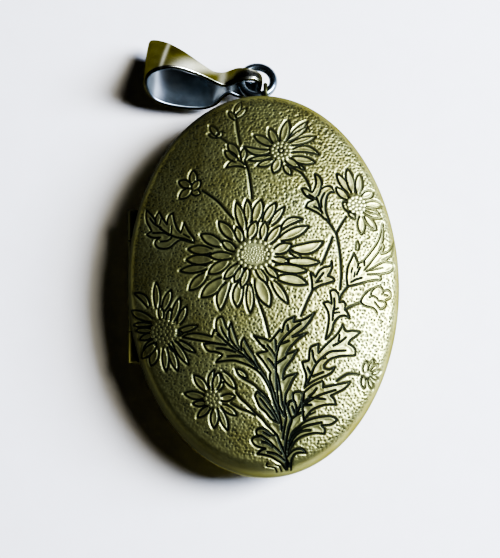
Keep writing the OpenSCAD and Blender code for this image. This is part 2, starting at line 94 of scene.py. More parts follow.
def makeMesh(name, points, faces, material, body):
    mesh = bpy.data.meshes.new(name)
    mesh.from_pydata((np.asarray(points) * mm).tolist(), [], faces)
    mesh.validate()
    mesh.polygons.foreach_set("use_smooth", [True] * len(mesh.polygons))
    piece = bpy.data.objects.new(name, mesh)
    bpy.context.scene.collection.objects.link(piece)
    mesh.materials.append(material)
    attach(piece, body)
    return piece


def storeValues(piece, label, values):
    layer = piece.data.attributes.new(label, "FLOAT", "POINT")
    layer.data.foreach_set("value", np.clip(values, 0, 1).astype(np.float32))


def ringFaces(rings, across, start=0, closed=True):
    faces = []
    for i in range(rings - 1):
        low, high = start + i * across, start + (i + 1) * across
        for j in range(across if closed else across - 1):
            k = (j + 1) % across
            faces.append([low + j, low + k, high + k, high + j])
    return faces


# the dome's section, from the middle out over the edge

def domeSection(halfLength, height, roll, band, steps=900):
    reach = halfLength - roll
    rise = height - band
    big = (reach ** 2 + rise ** 2 - roll ** 2) / (2 * (rise - roll))
    turn = math.atan2(reach, big - rise)
    domeArc = big * turn
    rollArc = roll * (math.pi / 2 - turn)
    s = np.linspace(0, domeArc + rollArc, steps)
    onDome = s < domeArc
    angle = np.where(onDome, s / big, turn + (s - domeArc) / roll)
    r = np.where(onDome, big * np.sin(angle), reach + roll * np.sin(angle))
    z = np.where(onDome, height - big + big * np.cos(angle), band + roll * np.cos(angle))
    return {"s": s, "r": r, "z": z, "angle": angle}


outer = domeSection(leaf["halfLength"], leaf["height"], leaf["roll"], leaf["band"])
inner = domeSection(leaf["halfLength"] - leaf["wall"], leaf["height"] - leaf["wall"], leaf["innerRoll"],
                    leaf["band"])
arcLength = outer["s"][-1]
stretch = leaf["halfWidth"] / leaf["halfLength"]


def ovalRadius(points):
    return np.hypot(points[:, 0] / stretch, points[:, 1])


# The flattened leaf: distances from the middle run along the metal instead of straight across
def flatten(points):
    points = np.asarray(points, float)
    r = np.maximum(ovalRadius(points), 1e-6)
    return points * (np.interp(r, outer["r"], outer["s"]) / r)[:, None]


def raiseOnDome(flat, height):
    s = np.maximum(ovalRadius(flat), 1e-6)
    r = np.interp(s, outer["s"], outer["r"])
    angle = np.interp(s, outer["s"], outer["angle"])
    plan = flat * (r / s)[:, None]
    slope = np.stack([plan[:, 0] / stretch ** 2, plan[:, 1]], 1) / np.maximum(r, 1e-6)[:, None]
    normal = unit(np.column_stack([slope * np.sin(angle)[:, None], np.cos(angle)]))
    base = np.column_stack([plan, np.interp(s, outer["s"], outer["z"])])
    return base + normal * height[:, None]


# shader helper: sockets that add up like numbers

class Sock:
    def __init__(self, tree, socket):
        self.tree = tree
        self.socket = socket

    def calc(self, operation, *values, clamp=False):
        node = self.tree.nodes.new("ShaderNodeMath")
        node.operation = operation
        node.use_clamp = clamp
        for place, value in enumerate(values):
            plug(self.tree, node.inputs[place], value)
        return Sock(self.tree, node.outputs[0])

    def __add__(self, other):
        return self.calc("ADD", self, other)

    def __radd__(self, other):
        return self.calc("ADD", other, self)

    def __sub__(self, other):
        return self.calc("SUBTRACT", self, other)

    def __rsub__(self, other):
        return self.calc("SUBTRACT", other, self)

    def __mul__(self, other):
        return self.calc("MULTIPLY", self, other)

    def __rmul__(self, other):
        return self.calc("MULTIPLY", other, self)

    def __truediv__(self, other):
        return self.calc("DIVIDE", self, other)

    def clamp(self):
        return self.calc("ADD", self, 0, clamp=True)

    def step(self, low, high):
        return ((self - low) / (high - low)).clamp()


def plug(tree, socket, value):
    if isinstance(value, Sock):
        tree.links.new(value.socket, socket)
    else:
        socket.default_value = value


class Shader:
    def __init__(self, name):
        self.material = bpy.data.materials.new(name)
        self.material.use_nodes = True
        self.tree = self.material.node_tree
        self.surface = self.tree.nodes["Principled BSDF"]

    def node(self, kind, settings=None, inputs=None, output=0):
        made = self.tree.nodes.new(kind)
        for key, value in (settings or {}).items():
            setattr(made, key, value)
        for key, value in (inputs or {}).items():
            plug(self.tree, made.inputs[key], value)
        return Sock(self.tree, made.outputs[output])

    def mix(self, factor, first, second):
        made = self.tree.nodes.new("ShaderNodeMix")
        made.data_type = "RGBA"
        for place, value in ((0, factor), (6, first), (7, second)):
            plug(self.tree, made.inputs[place], value)
        return Sock(self.tree, made.outputs[2])

    def noise(self, scale, detail=4, rough=0.55, stretched=(1, 1, 1)):
        spot = self.node("ShaderNodeTexCoord", output="Object")
        place = self.node("ShaderNodeMapping", inputs={"Vector": spot, "Scale": stretched})
        return self.node("ShaderNodeTexNoise",
                         inputs={"Vector": place, "Scale": scale, "Detail": detail, "Roughness": rough})

    def along(self, axis):
        spot = self.node("ShaderNodeTexCoord", output="Object")
        return self.node("ShaderNodeSeparateXYZ", inputs={"Vector": spot}, output=axis)

    def attribute(self, name):
        return self.node("ShaderNodeAttribute", {"attribute_name": name}, output="Fac")

    def bump(self, height, distance, strength, under=None):
        inputs = {"Height": height, "Distance": distance, "Strength": strength}
        if under is not None:
            inputs["Normal"] = under
        return self.node("ShaderNodeBump", inputs=inputs)

    def set(self, **values):
        for key, value in values.items():
            plug(self.tree, self.surface.inputs[key.replace("_", " ")], value)


def rgb(r, g, b):
    return (r, g, b, 1)


# metals

brass = {
    "wornAndHighlight": rgb(0.755, 0.775, 0.385),       # rubbed high spots, and the painted highlight along the lips beside the cuts
    "olive": rgb(0.465, 0.465, 0.175),      # what most of the leaf shows
    "umber": rgb(0.345, 0.32, 0.100),
    # colour of the painted shade where the light falls off
    "paintedShade": rgb(0.095, 0.075, 0.020),
    "recessAndShade": rgb(0.010, 0.012, 0.007),     # old dark left in the cuts, and the colour of the painted shade laid on with it
    "glancing": rgb(0.30, 0.30, 0.25),      # tint of what it mirrors edge on
    "roughness": 0.33,
    "recessRoughness": 0.45,
    "recessDull": 0.2,                      # metallic that the dark takes away
    # noises: scale, detail, roughness and stretch
    "toneNoise": (160, 5),
    "grainNoise": (2600, 3, 0.6),
    "blotchNoise": (420, 6, 0.65),
    "scratchNoise": (900, 2, 0.5, (1, 14, 1)),
    "toneEdge": (0.35, 0.68),
    "wornEdge": (0.45, 0.75),
    "agedEdge": (0.55, 0.85),
    "wornOnCover": 0.3,
    "wornElsewhere": 0.12,
    # painted shade, darker towards the hinge side, the top and the lower left where the light falls off:
    # where it starts and is full, metres from the middle, and its strength
    "shadedSide": (0.005, 0.0155, 0.75),
    "shadedTop": (0.008, 0.020, 0.8),
    "shadedLowerLeft": (0.012, 0.026, 0.4),
    "paintedShadeShare": 0.45,
    "patinaSpread": 0.15,                   # how far the noise frays the patina and painted shade
    "wearAndHighlightShare": (0.8, 0.6),                # share of the wear and painted highlight, and how much of it the painted shade takes back
    "agedShare": 0.35,
    "shadeLifted": 0.9,
    # share of the painted shade that painted light takes off again
    "grainRoughness": 0.10,
    "pits": (0.00002, 0.4),                 # bumps: height in metres and strength
    "dents": (0.00005, 0.25),
}
steel = {
    "filmNoise": (300, 4),
    "fineNoise": (2400, 3),
    "filmEdge": (0.35, 0.7),
    "wearAndHighlightShare": (0.7, 0.6),                # share of the painted highlights, and how much more of it the film gives
    "fineRoughness": 0.12,
}


# a band of painted shade that grows with distance from the middle
def paintedShadeBand(distance, band):
    start, full, strength = brass[band]
    return distance.step(start, full) * strength


def antiqueBrass(name, masked, ageAndShade=0.0, paintedLight=None):
    shader = Shader(name)
    tone = shader.noise(*brass["toneNoise"])
    grain = shader.noise(*brass["grainNoise"])
    blotch = shader.noise(*brass["blotchNoise"])
    scratch = shader.noise(*brass["scratchNoise"])
    x, y = shader.along("X"), shader.along("Y")
    # painted shade: darker towards the hinge side, the top and the lower left
    paintedShade = paintedShadeBand(0 - x, "shadedSide") + paintedShadeBand(y, "shadedTop") + paintedShadeBand(0 - x - y, "shadedLowerLeft")
    wornShare = brass["wornOnCover"] if masked else brass["wornElsewhere"]
    base = shader.mix(tone.step(*brass["toneEdge"]), brass["umber"], brass["olive"])
    base = shader.mix((blotch.step(*brass["wornEdge"]) * wornShare).clamp(), base, brass["wornAndHighlight"])
    # the painted shade laid over the base colour
    base = shader.mix((paintedShade * brass["paintedShadeShare"]).clamp(), base, brass["paintedShade"])
    if masked:
        # the cover's dark: patina in the cuts and pits, with painted shade on the shaded side's lips and on
        # the rim
        dark = (shader.attribute("patinaAndShade") + (blotch - 0.5) * brass["patinaSpread"]).clamp()
        share, lost = brass["wearAndHighlightShare"]
        # wear and painted highlight on the cover, less of it where the painted shade lies
        base = shader.mix((shader.attribute("wearAndHighlight") * (share - paintedShade * lost)).clamp(), base, brass["wornAndHighlight"])
    else:
        # painted light: on a lit end or side the painted shade is taken off along one axis
        if paintedLight:
            axis, start, full = paintedLight
            ageAndShade = ageAndShade * (1 - shader.along(axis).step(start, full) * brass["shadeLifted"])
        dark = (blotch.step(*brass["agedEdge"]) * brass["agedShare"] + ageAndShade).clamp()
    base = shader.mix(dark, base, brass["recessAndShade"])
    rough = brass["roughness"] + grain * brass["grainRoughness"]
    rough = rough + dark * (brass["recessRoughness"] - brass["roughness"])
    pitted = shader.bump(grain * 0.5 + scratch * 0.5, *brass["pits"])
    shader.set(Base_Color=base, Roughness=rough, Metallic=1 - dark * brass["recessDull"],
               Specular_Tint=brass["glancing"], Normal=shader.bump(blotch, *brass["dents"], pitted))
    return shader.material


def darkSteel(name, tint, glow, roughness, paintedLight=None, edgeTint=rgb(1, 1, 1)):
    shader = Shader(name)
    film = shader.noise(*steel["filmNoise"])
    fine = shader.noise(*steel["fineNoise"])
    base = shader.mix(film.step(*steel["filmEdge"]), tint, glow)
    # painted highlights, laid on in the third colour where the wear and highlight attribute asks
    if paintedLight:
        share, more = steel["wearAndHighlightShare"]
        base = shader.mix((shader.attribute("wearAndHighlight") * (share + film * more)).clamp(), base, paintedLight)
    shader.set(Base_Color=base, Metallic=1.0, Specular_Tint=edgeTint,
               Roughness=roughness + fine * steel["fineRoughness"], Normal=shader.bump(fine, *brass["pits"]))
    return shader.material


# the last values: how dark a part is made, and an axis and from where to where along it, in metres, that
# darkening is taken off; on the barrel and the edge band the darkening is painted shade, taken off by painted
# light where they are lit
coverBrass = antiqueBrass("coverBrass", True)
plainBrass = antiqueBrass("plainBrass", False)
# the hinge barrel: painted shade, lifted towards its lower end, where it is lit
barrelBrass = antiqueBrass("barrelBrass", False, 0.85, ("Y", -0.0045, -0.0085))
# brass made dark all over, for the loop, its neck and the hinge tabs
darkBrass = antiqueBrass("darkBrass", False, 0.85)
# the leaf's edge band: painted shade, lifted towards the lit right side
edgeBrass = antiqueBrass("edgeBrass", False, 0.75, ("X", 0.002, 0.012))
ringSteel = darkSteel("ringSteel", rgb(0.13, 0.16, 0.17), rgb(0.32, 0.38, 0.41), 0.20)
# the bail: a very dark tint standing in for the dark surroundings it mirrors, painted shade; its third colour
# is that of its painted highlights
bailBrass = darkSteel("bailBrass", rgb(0.045, 0.042, 0.018), rgb(0.095, 0.09, 0.042), 0.20,
                      rgb(0.95, 0.94, 0.76), rgb(0.40, 0.39, 0.26))
# the bail's inside: its third colour is that of its painted highlights
bailInside = darkSteel("bailInside", rgb(0.15, 0.175, 0.18), rgb(0.30, 0.345, 0.35), 0.30,
                       rgb(0.80, 0.88, 0.98))
print("metals made")


# the spray's chart: what was cut into the cover, read off it in millimetres from the middle
# petal: tip, root, width and, where it has one, its sideways bow
spray = {
    "bloomOuter": [
        [(-5.0, 6.5), (-3.3, 4.4), 1.15], [(-7.1, 5.05), (-4.8, 3.7), 1.15],
        [(-8.6, 3.4), (-5.9, 3.05), 1.05], [(-8.8, 2.15), (-5.9, 2.0), 1.15],
        [(-9.55, 0.9), (-6.5, 1.15), 0.9], [(-8.5, -1.4), (-6.6, 0.3), 1.15],
        [(-7.15, -2.3), (-4.6, -0.4), 1.4], [(-5.0, -3.9), (-4.0, -0.8), 1.15, -0.3],
        [(-3.05, -3.6), (-2.6, -0.8), 1.15, -0.15], [(-1.6, -4.3), (-1.6, -1.1), 0.85],
        [(-1.3, -2.0), (-1.7, -1.0), 0.4], [(0.6, -3.65), (-0.7, -0.4), 1.5],
        [(2.7, -3.3), (1.0, -0.7), 0.85], [(4.95, -1.05), (1.7, -0.35), 1.15, 0.15],
        [(5.0, 0.45), (1.3, 0.9), 1.0], [(6.45, 1.45), (2.7, 1.6), 0.95], [(4.4, 1.9), (3.1, 2.75), 0.5],
        [(6.9, 3.9), (3.3, 3.0), 1.25, -0.35], [(5.3, 5.7), (2.0, 4.2), 1.1],
        [(4.6, 6.55), (2.2, 5.5), 0.75, 0.35], [(2.55, 8.05), (0.9, 5.9), 0.75],
        [(1.55, 8.55), (0.2, 6.2), 1.0], [(-0.1, 8.95), (-0.9, 6.2), 1.15],
        [(-1.7, 9.0), (-1.6, 6.2), 0.85], [(-2.95, 8.7), (-2.1, 5.4), 1.0],
    ],
    "bloomInner": [
        [(-3.0, 5.8), (-2.4, 4.0), 0.9], [(-0.75, 6.35), (-1.5, 4.4), 1.05],
        [(0.3, 6.3), (0.0, 4.2), 0.85], [(2.15, 5.8), (0.5, 3.7), 1.0], [(3.25, 3.55), (1.3, 2.7), 1.15],
        [(2.9, 1.55), (1.1, 1.85), 0.8], [(1.6, -0.35), (0.3, 1.0), 0.75],
        [(0.4, -0.85), (-0.8, 0.9), 0.75], [(-2.55, -1.4), (-1.8, 0.7), 0.85],
        [(-3.3, -0.7), (-2.4, 0.9), 0.8], [(-4.5, -0.3), (-2.7, 1.3), 0.95],
        [(-6.3, 0.4), (-4.0, 1.7), 1.2], [(-6.2, 2.5), (-3.6, 2.3), 0.95],
        [(-4.65, 4.15), (-3.2, 3.0), 0.9],
    ],
    "topBloom": [
        [(1.05, 17.8), (1.9, 15.7), 0.9], [(3.25, 18.85), (2.5, 15.9), 1.0],
        [(5.5, 18.7), (3.4, 16.6), 0.65], [(5.5, 18.0), (3.2, 16.2), 0.55],
        [(6.4, 16.75), (3.5, 15.8), 0.8], [(6.75, 14.5), (3.6, 14.9), 0.8, 0.5],
        [(6.25, 13.5), (3.6, 14.0), 0.95], [(4.4, 12.9), (2.8, 14.0), 0.8],
        [(5.0, 12.6), (4.1, 13.3), 0.4], [(3.4, 11.95), (2.7, 13.1), 0.7],
        [(1.4, 12.2), (2.1, 13.9), 1.05], [(-0.45, 13.1), (1.4, 13.7), 0.75],
        [(-1.5, 13.85), (1.1, 14.2), 0.6], [(-2.0, 15.6), (1.1, 14.9), 0.8, 0.4],
        [(-0.8, 17.0), (1.2, 15.7), 0.9],
    ],
    "rightBloom": [
        [(8.75, 12.2), (10.2, 9.9), 0.85], [(10.0, 12.85), (10.6, 9.9), 0.9],
        [(11.4, 12.25), (11.2, 9.8), 0.85], [(13.0, 10.1), (11.6, 9.3), 0.9],
        [(14.05, 8.55), (11.9, 8.5), 0.8], [(13.5, 7.5), (11.9, 7.9), 0.5],
        [(13.8, 6.95), (11.7, 7.7), 0.7], [(13.1, 5.5), (11.9, 7.1), 0.7],
        [(11.4, 4.9), (11.4, 7.0), 0.85], [(10.8, 6.75), (10.0, 7.4), 0.5], [(9.4, 8.8), (10.0, 7.6), 0.6],
        [(8.6, 10.45), (9.9, 9.1), 0.85],
    ],
    "leftBloom": [
        [(-12.3, -0.25), (-12.2, -3.2), 0.75], [(-10.6, -1.25), (-11.5, -3.5), 0.85],
        [(-14.9, -1.3), (-13.2, -3.0), 0.7, -0.3], [(-9.6, -2.2), (-10.5, -4.9), 0.8],
        [(-8.85, -3.25), (-9.8, -5.2), 0.8], [(-7.6, -5.55), (-9.9, -6.1), 0.65],
        [(-15.3, -3.25), (-12.9, -4.6), 0.9], [(-15.1, -4.9), (-12.9, -5.1), 0.5],
        [(-14.75, -5.6), (-12.7, -5.8), 0.6], [(-14.3, -6.7), (-12.6, -6.2), 0.7],
        [(-13.9, -7.9), (-12.3, -6.9), 0.8], [(-14.1, -8.8), (-12.5, -7.4), 1.0],
        [(-13.0, -9.8), (-12.4, -7.9), 1.0], [(-11.3, -10.5), (-11.4, -7.9), 0.75],
        [(-9.95, -10.55), (-10.9, -7.8), 0.8], [(-8.7, -9.9), (-10.4, -7.2), 0.75],
        [(-7.9, -8.55), (-9.8, -7.2), 0.6], [(-11.9, -3.0), (-11.7, -4.6), 0.6],
        [(-10.7, -3.5), (-11.0, -4.8), 0.6], [(-9.3, -6.3), (-10.2, -6.3), 0.5],
        [(-10.4, -8.3), (-10.8, -7.2), 0.5],
    ],
    "lowBloom": [
        [(-5.8, -10.6), (-6.2, -12.6), 0.6, 0.2], [(-5.3, -10.9), (-5.8, -12.8), 0.9],
        [(-4.8, -12.0), (-5.4, -12.9), 0.5], [(-8.1, -11.1), (-6.7, -12.8), 0.9],
        [(-9.25, -13.1), (-7.0, -13.6), 0.85], [(-8.3, -14.3), (-6.8, -14.3), 0.65],
        [(-7.8, -15.85), (-6.4, -14.7), 0.75], [(-5.95, -17.1), (-5.8, -15.0), 0.9],
        [(-4.4, -17.4), (-5.3, -14.9), 0.75], [(-3.35, -15.75), (-5.0, -14.6), 0.75],
        [(-3.5, -13.6), (-5.2, -13.9), 0.8],
    ],
    "smallBloom": [
        [(11.5, -9.9), (11.3, -11.2), 0.6], [(12.3, -9.7), (11.7, -11.0), 0.4],
        [(12.9, -10.2), (12.0, -11.0), 0.45], [(13.2, -10.85), (12.1, -11.3), 0.5],
        [(12.85, -11.9), (12.0, -11.4), 0.5], [(12.2, -13.0), (11.7, -11.9), 0.5],
        [(11.1, -12.9), (11.1, -11.6), 0.55],
    ],
    "buds": [
        [(-7.9, 12.9), (-7.9, 11.1), 0.9], [(-9.6, 11.65), (-8.2, 10.9), 0.95],
        [(-9.55, 9.5), (-8.2, 10.6), 1.0], [(-7.1, 11.6), (-8.0, 10.5), 0.9],
        [(-7.1, 10.0), (-8.1, 10.3), 0.8], [(-3.8, 16.1), (-2.6, 14.4), 1.0],
        [(-1.9, 15.4), (-2.1, 13.9), 0.7], [(-4.2, 15.1), (-2.8, 13.8), 0.9],
        [(-4.1, 13.0), (-1.9, 13.1), 0.8, -0.5], [(-5.9, 18.4), (-5.0, 17.1), 0.7],
        [(-6.1, 17.3), (-5.0, 16.9), 0.5], [(-4.5, 17.6), (-5.0, 16.9), 0.6],
        [(-3.7, 20.1), (-2.9, 19.1), 0.6], [(-1.6, 20.5), (-2.8, 19.3), 0.7],
        [(-2.2, 21.4), (-2.9, 19.8), 0.7], [(-2.1, -11.6), (-3.2, -10.7), 0.6],
        [(-3.4, -12.8), (-4.9, -10.9), 0.8],
    ],
}
# heart: middle, half width, half height
hearts = [
    [(-0.95, 2.45), 2.0, 1.55],
    [(2.35, 14.95), 1.05, 1.0],
    [(10.95, 8.4), 0.95, 0.95],
    [(-11.5, -6.0), 1.3, 1.25],
    [(-6.0, -13.8), 0.8, 0.8],
    [(11.5, -11.4), 0.35, 0.35],
]
# leaf outlines, all closed; a third value marks a sharp tip or notch
leaves = [
    # upper left
    [(-7.9, 4.1, 1), (-7.9, 4.6), (-8.35, 5.25), (-8.7, 5.85), (-9.0, 6.6, 1), (-9.2, 5.95),
     (-9.4, 5.4, 1), (-9.8, 5.85), (-10.05, 6.5), (-10.2, 7.05), (-10.3, 7.8, 1), (-10.65, 7.65),
     (-10.9, 7.2), (-11.0, 6.5, 1), (-11.5, 7.25), (-11.75, 7.75), (-11.9, 8.1, 1), (-12.2, 7.7),
     (-12.33, 7.3), (-12.3, 6.8, 1), (-12.5, 7.3), (-12.85, 7.8), (-13.4, 8.5, 1), (-13.46, 7.7),
     (-13.33, 6.95), (-13.0, 6.3), (-12.8, 5.85, 1), (-13.4, 5.5, 1), (-12.95, 5.15), (-12.4, 5.0),
     (-11.8, 5.0, 1), (-12.25, 4.7), (-12.42, 4.35), (-12.15, 3.86), (-11.6, 3.64), (-10.95, 3.64),
     (-10.5, 3.86), (-10.05, 4.23), (-9.4, 4.55), (-8.6, 4.3)],
    # under the right bloom
    [(5.9, 8.85, 1), (5.3, 9.2), (4.85, 9.66), (4.55, 10.3, 1), (5.1, 10.25), (5.6, 9.95), (5.85, 9.85, 1),
     (6.1, 10.3), (6.3, 11.0), (6.2, 11.8), (6.15, 12.1, 1), (6.68, 11.8), (6.95, 11.13), (6.9, 10.5),
     (6.75, 10.15, 1), (7.3, 10.5), (7.8, 10.6), (8.2, 10.35), (8.4, 9.88, 1), (8.0, 9.87), (7.7, 9.66),
     (7.48, 9.18), (7.35, 8.57), (7.3, 7.96), (7.37, 7.35), (7.54, 6.86), (7.7, 6.3, 1), (7.1, 6.65),
     (6.8, 6.98), (6.3, 7.35), (5.7, 7.65), (5.0, 8.0, 1), (5.15, 8.35), (5.4, 8.65)],
    # right of the big bloom
    [(5.3, 0.25, 1), (5.6, 0.1), (5.93, -0.25, 1), (6.36, 0.5), (6.93, 0.88), (7.6, 1.05), (7.8, 1.6, 1),
     (7.8, 0.75), (7.3, -0.15, 1), (7.6, -0.2), (7.93, -0.38), (8.05, -0.7, 1), (7.2, -1.0), (6.43, -1.25),
     (5.5, -1.8, 1), (5.5, -1.0), (5.45, -0.4)],
    # right edge
    [(10.43, 2.6, 1), (10.05, 1.75), (9.68, 1.0), (9.55, 0.25), (9.5, -0.5), (9.6, -1.3, 1), (10.8, -1.0),
     (11.8, -0.69), (12.9, -0.45), (13.35, -0.45), (13.43, -0.05), (13.1, 0.2, 1), (14.05, 0.38),
     (14.68, 0.63), (15.07, 1.13), (15.0, 1.5), (14.55, 1.63), (13.9, 1.65, 1), (14.5, 2.3), (14.9, 2.6),
     (15.3, 4.3, 1), (14.75, 3.2), (14.1, 2.75), (13.6, 2.6, 1), (13.95, 3.5), (13.75, 3.65),
     (13.43, 3.2, 1), (13.9, 4.6), (13.95, 6.3, 1), (13.74, 5.4), (13.49, 4.5), (12.93, 3.5), (12.18, 2.5),
     (11.6, 1.8, 1), (11.4, 1.63), (10.86, 1.4, 1)],
    # under the right bud
    [(7.53, -1.9, 1), (7.65, -2.6), (7.7, -3.35, 1), (7.24, -3.1), (6.7, -3.25, 1), (7.1, -3.9),
     (7.3, -4.5), (7.3, -5.3), (7.1, -6.4), (6.85, -7.4, 1), (7.3, -7.0), (7.65, -6.35), (7.8, -5.76),
     (8.1, -5.2), (8.65, -4.76), (9.2, -4.7), (9.7, -5.0, 1), (9.45, -4.35), (9.15, -3.9, 1), (9.25, -3.5),
     (9.06, -3.1), (8.55, -3.2, 1), (8.6, -2.8), (8.47, -2.2, 1), (8.3, -1.94), (7.94, -1.74)],
    # big right leaf
    [(8.87, -5.7, 1), (8.95, -5.9), (9.08, -6.34), (9.4, -6.5), (10.0, -6.4), (10.9, -6.55, 1),
     (10.34, -7.03), (9.8, -7.4), (9.45, -7.9, 1), (9.92, -8.15), (10.24, -8.6), (10.2, -9.18, 1),
     (9.4, -9.24), (8.55, -9.29), (7.7, -9.5), (7.18, -9.76), (6.6, -10.35, 1), (6.6, -10.65, 1),
     (7.18, -10.8), (7.9, -10.5, 1), (7.5, -11.13), (6.87, -11.5), (6.13, -11.8), (5.3, -12.2),
     (4.3, -12.9, 1), (4.55, -12.1), (4.55, -11.34), (4.34, -10.7), (4.15, -9.95, 1), (4.55, -9.87),
     (4.92, -9.75, 1), (4.97, -9.13), (5.03, -8.6), (5.24, -8.24), (5.7, -8.03), (6.08, -7.9, 1),
     (6.03, -8.4), (6.03, -8.97, 1), (6.45, -8.5), (7.08, -7.87), (7.7, -7.34), (8.24, -6.8),
     (8.66, -6.18)],
    # the leaf under it
    [(4.3, -13.3, 1), (5.08, -12.7), (5.6, -12.4), (6.34, -12.1, 1), (6.5, -12.35), (6.45, -12.8, 1),
     (7.18, -12.66), (8.24, -12.45), (9.6, -12.2, 1), (8.97, -12.9), (8.24, -13.3), (7.3, -13.75, 1),
     (7.65, -14.1), (7.9, -14.75, 1), (7.0, -14.73), (6.1, -14.9), (5.4, -15.2), (4.87, -15.63),
     (4.2, -16.6, 1), (4.1, -15.0)],
    [(4.0, -16.8, 1), (4.5, -16.5), (5.25, -16.25), (6.25, -16.06), (7.4, -16.06), (8.0, -16.45, 1),
     (7.25, -16.94), (6.2, -17.05, 1), (6.56, -17.5), (6.5, -17.98, 1), (5.5, -17.9), (4.6, -18.06),
     (3.9, -18.3), (3.25, -18.75), (2.9, -19.25), (2.3, -20.2, 1), (2.6, -18.6), (3.0, -17.7)],
    [(2.1, -20.6, 1), (2.5, -20.1), (3.0, -19.7), (3.6, -19.55), (4.1, -19.7), (4.4, -20.1, 1),
     (3.6, -20.06), (3.1, -20.25), (2.8, -20.75), (2.6, -21.6, 1)],
    # the middle leaf
    [(-1.3, -6.85, 1), (-0.6, -7.1), (0.1, -7.3), (0.6, -7.55, 1), (1.15, -6.94), (1.75, -6.2, 1),
     (1.97, -6.53, 1), (2.15, -5.76), (2.44, -5.3), (2.9, -5.0), (3.45, -4.8, 1), (3.3, -5.4, 1),
     (4.5, -5.1), (5.75, -4.3, 1), (5.1, -5.4), (4.25, -6.35), (3.1, -7.1, 1), (4.85, -6.65, 1),
     (3.74, -7.41), (3.26, -7.88), (2.8, -8.35), (2.4, -9.05, 1), (3.7, -8.57, 1), (3.38, -9.06),
     (3.03, -9.65), (2.56, -10.24), (2.2, -10.76), (2.03, -11.3), (1.97, -11.9, 1), (2.44, -11.5),
     (3.6, -11.2, 1), (3.26, -11.65), (2.9, -12.24), (2.56, -12.94), (2.26, -13.5), (2.15, -14.2),
     (2.0, -16.0, 1), (1.2, -14.4), (1.0, -13.6), (0.68, -12.6), (0.44, -11.6), (0.56, -11.06, 1),
     (0.09, -10.35), (-0.38, -9.65), (-1.0, -8.93, 1), (-0.4, -8.75), (0.26, -8.65, 1), (-0.3, -8.1),
     (-0.97, -7.3)],
    # big left leaf
    [(-9.4, -6.75, 1), (-8.83, -6.46), (-8.06, -6.38), (-7.37, -6.46), (-6.6, -6.65), (-5.98, -6.85, 1),
     (-5.85, -6.4), (-5.7, -6.1, 1), (-5.45, -6.25, 1), (-5.52, -5.7), (-5.48, -5.23), (-5.37, -4.88),
     (-5.14, -4.68), (-4.83, -4.65), (-4.66, -5.0), (-4.52, -5.46), (-4.33, -5.85), (-4.1, -6.15, 1),
     (-3.8, -5.25, 1), (-3.6, -6.1), (-3.3, -7.06), (-2.97, -8.0), (-2.65, -8.45, 1), (-2.72, -7.76),
     (-2.56, -7.35), (-2.36, -7.1, 1), (-2.09, -7.76), (-1.68, -8.47), (-1.26, -9.18), (-0.97, -10.0),
     (-0.38, -10.94), (0.09, -11.65), (0.44, -12.47), (0.68, -13.6, 1), (0.2, -12.47), (-0.26, -11.65),
     (-0.85, -10.94), (-1.3, -10.6), (-2.0, -10.2), (-2.97, -9.82), (-3.6, -9.65), (-4.45, -9.65),
     (-5.6, -9.78, 1), (-5.37, -9.46), (-5.06, -9.23), (-4.83, -8.92, 1), (-5.6, -8.6), (-6.14, -8.54),
     (-6.5, -8.38), (-6.75, -8.08), (-6.95, -7.65, 1), (-6.3, -7.58), (-5.6, -7.62, 1), (-6.6, -7.4),
     (-8.0, -7.1)],
    # lower left
    [(1.1, -18.0, 1), (0.6, -18.0), (0.0, -17.5), (-0.5, -17.25), (-1.0, -17.3), (-1.2, -17.6),
     (-1.1, -18.0), (-0.7, -18.1, 1), (-1.3, -18.15), (-1.65, -18.35), (-1.7, -18.65), (-1.4, -19.1),
     (-0.75, -19.4), (-0.2, -19.5, 1), (-0.7, -19.65), (-1.15, -20.1, 1), (-0.25, -20.25), (0.5, -20.5),
     (1.1, -20.9), (1.6, -21.25), (2.1, -21.9, 1), (2.1, -20.75), (1.6, -19.4)],
    # between the lowest stems
    [(-1.0, -13.15, 1), (-0.1, -14.0), (0.6, -15.0), (1.1, -15.9), (1.5, -16.75, 1), (0.5, -16.25),
     (-0.1, -15.5), (-0.75, -14.9), (-1.1, -14.1), (-1.25, -13.6)],
    [(3.1, -14.2, 1), (3.05, -13.5), (3.4, -13.25), (3.9, -13.3), (4.15, -13.7), (4.0, -14.4),
     (3.8, -14.9), (3.3, -15.9, 1), (3.4, -15.0)],
]
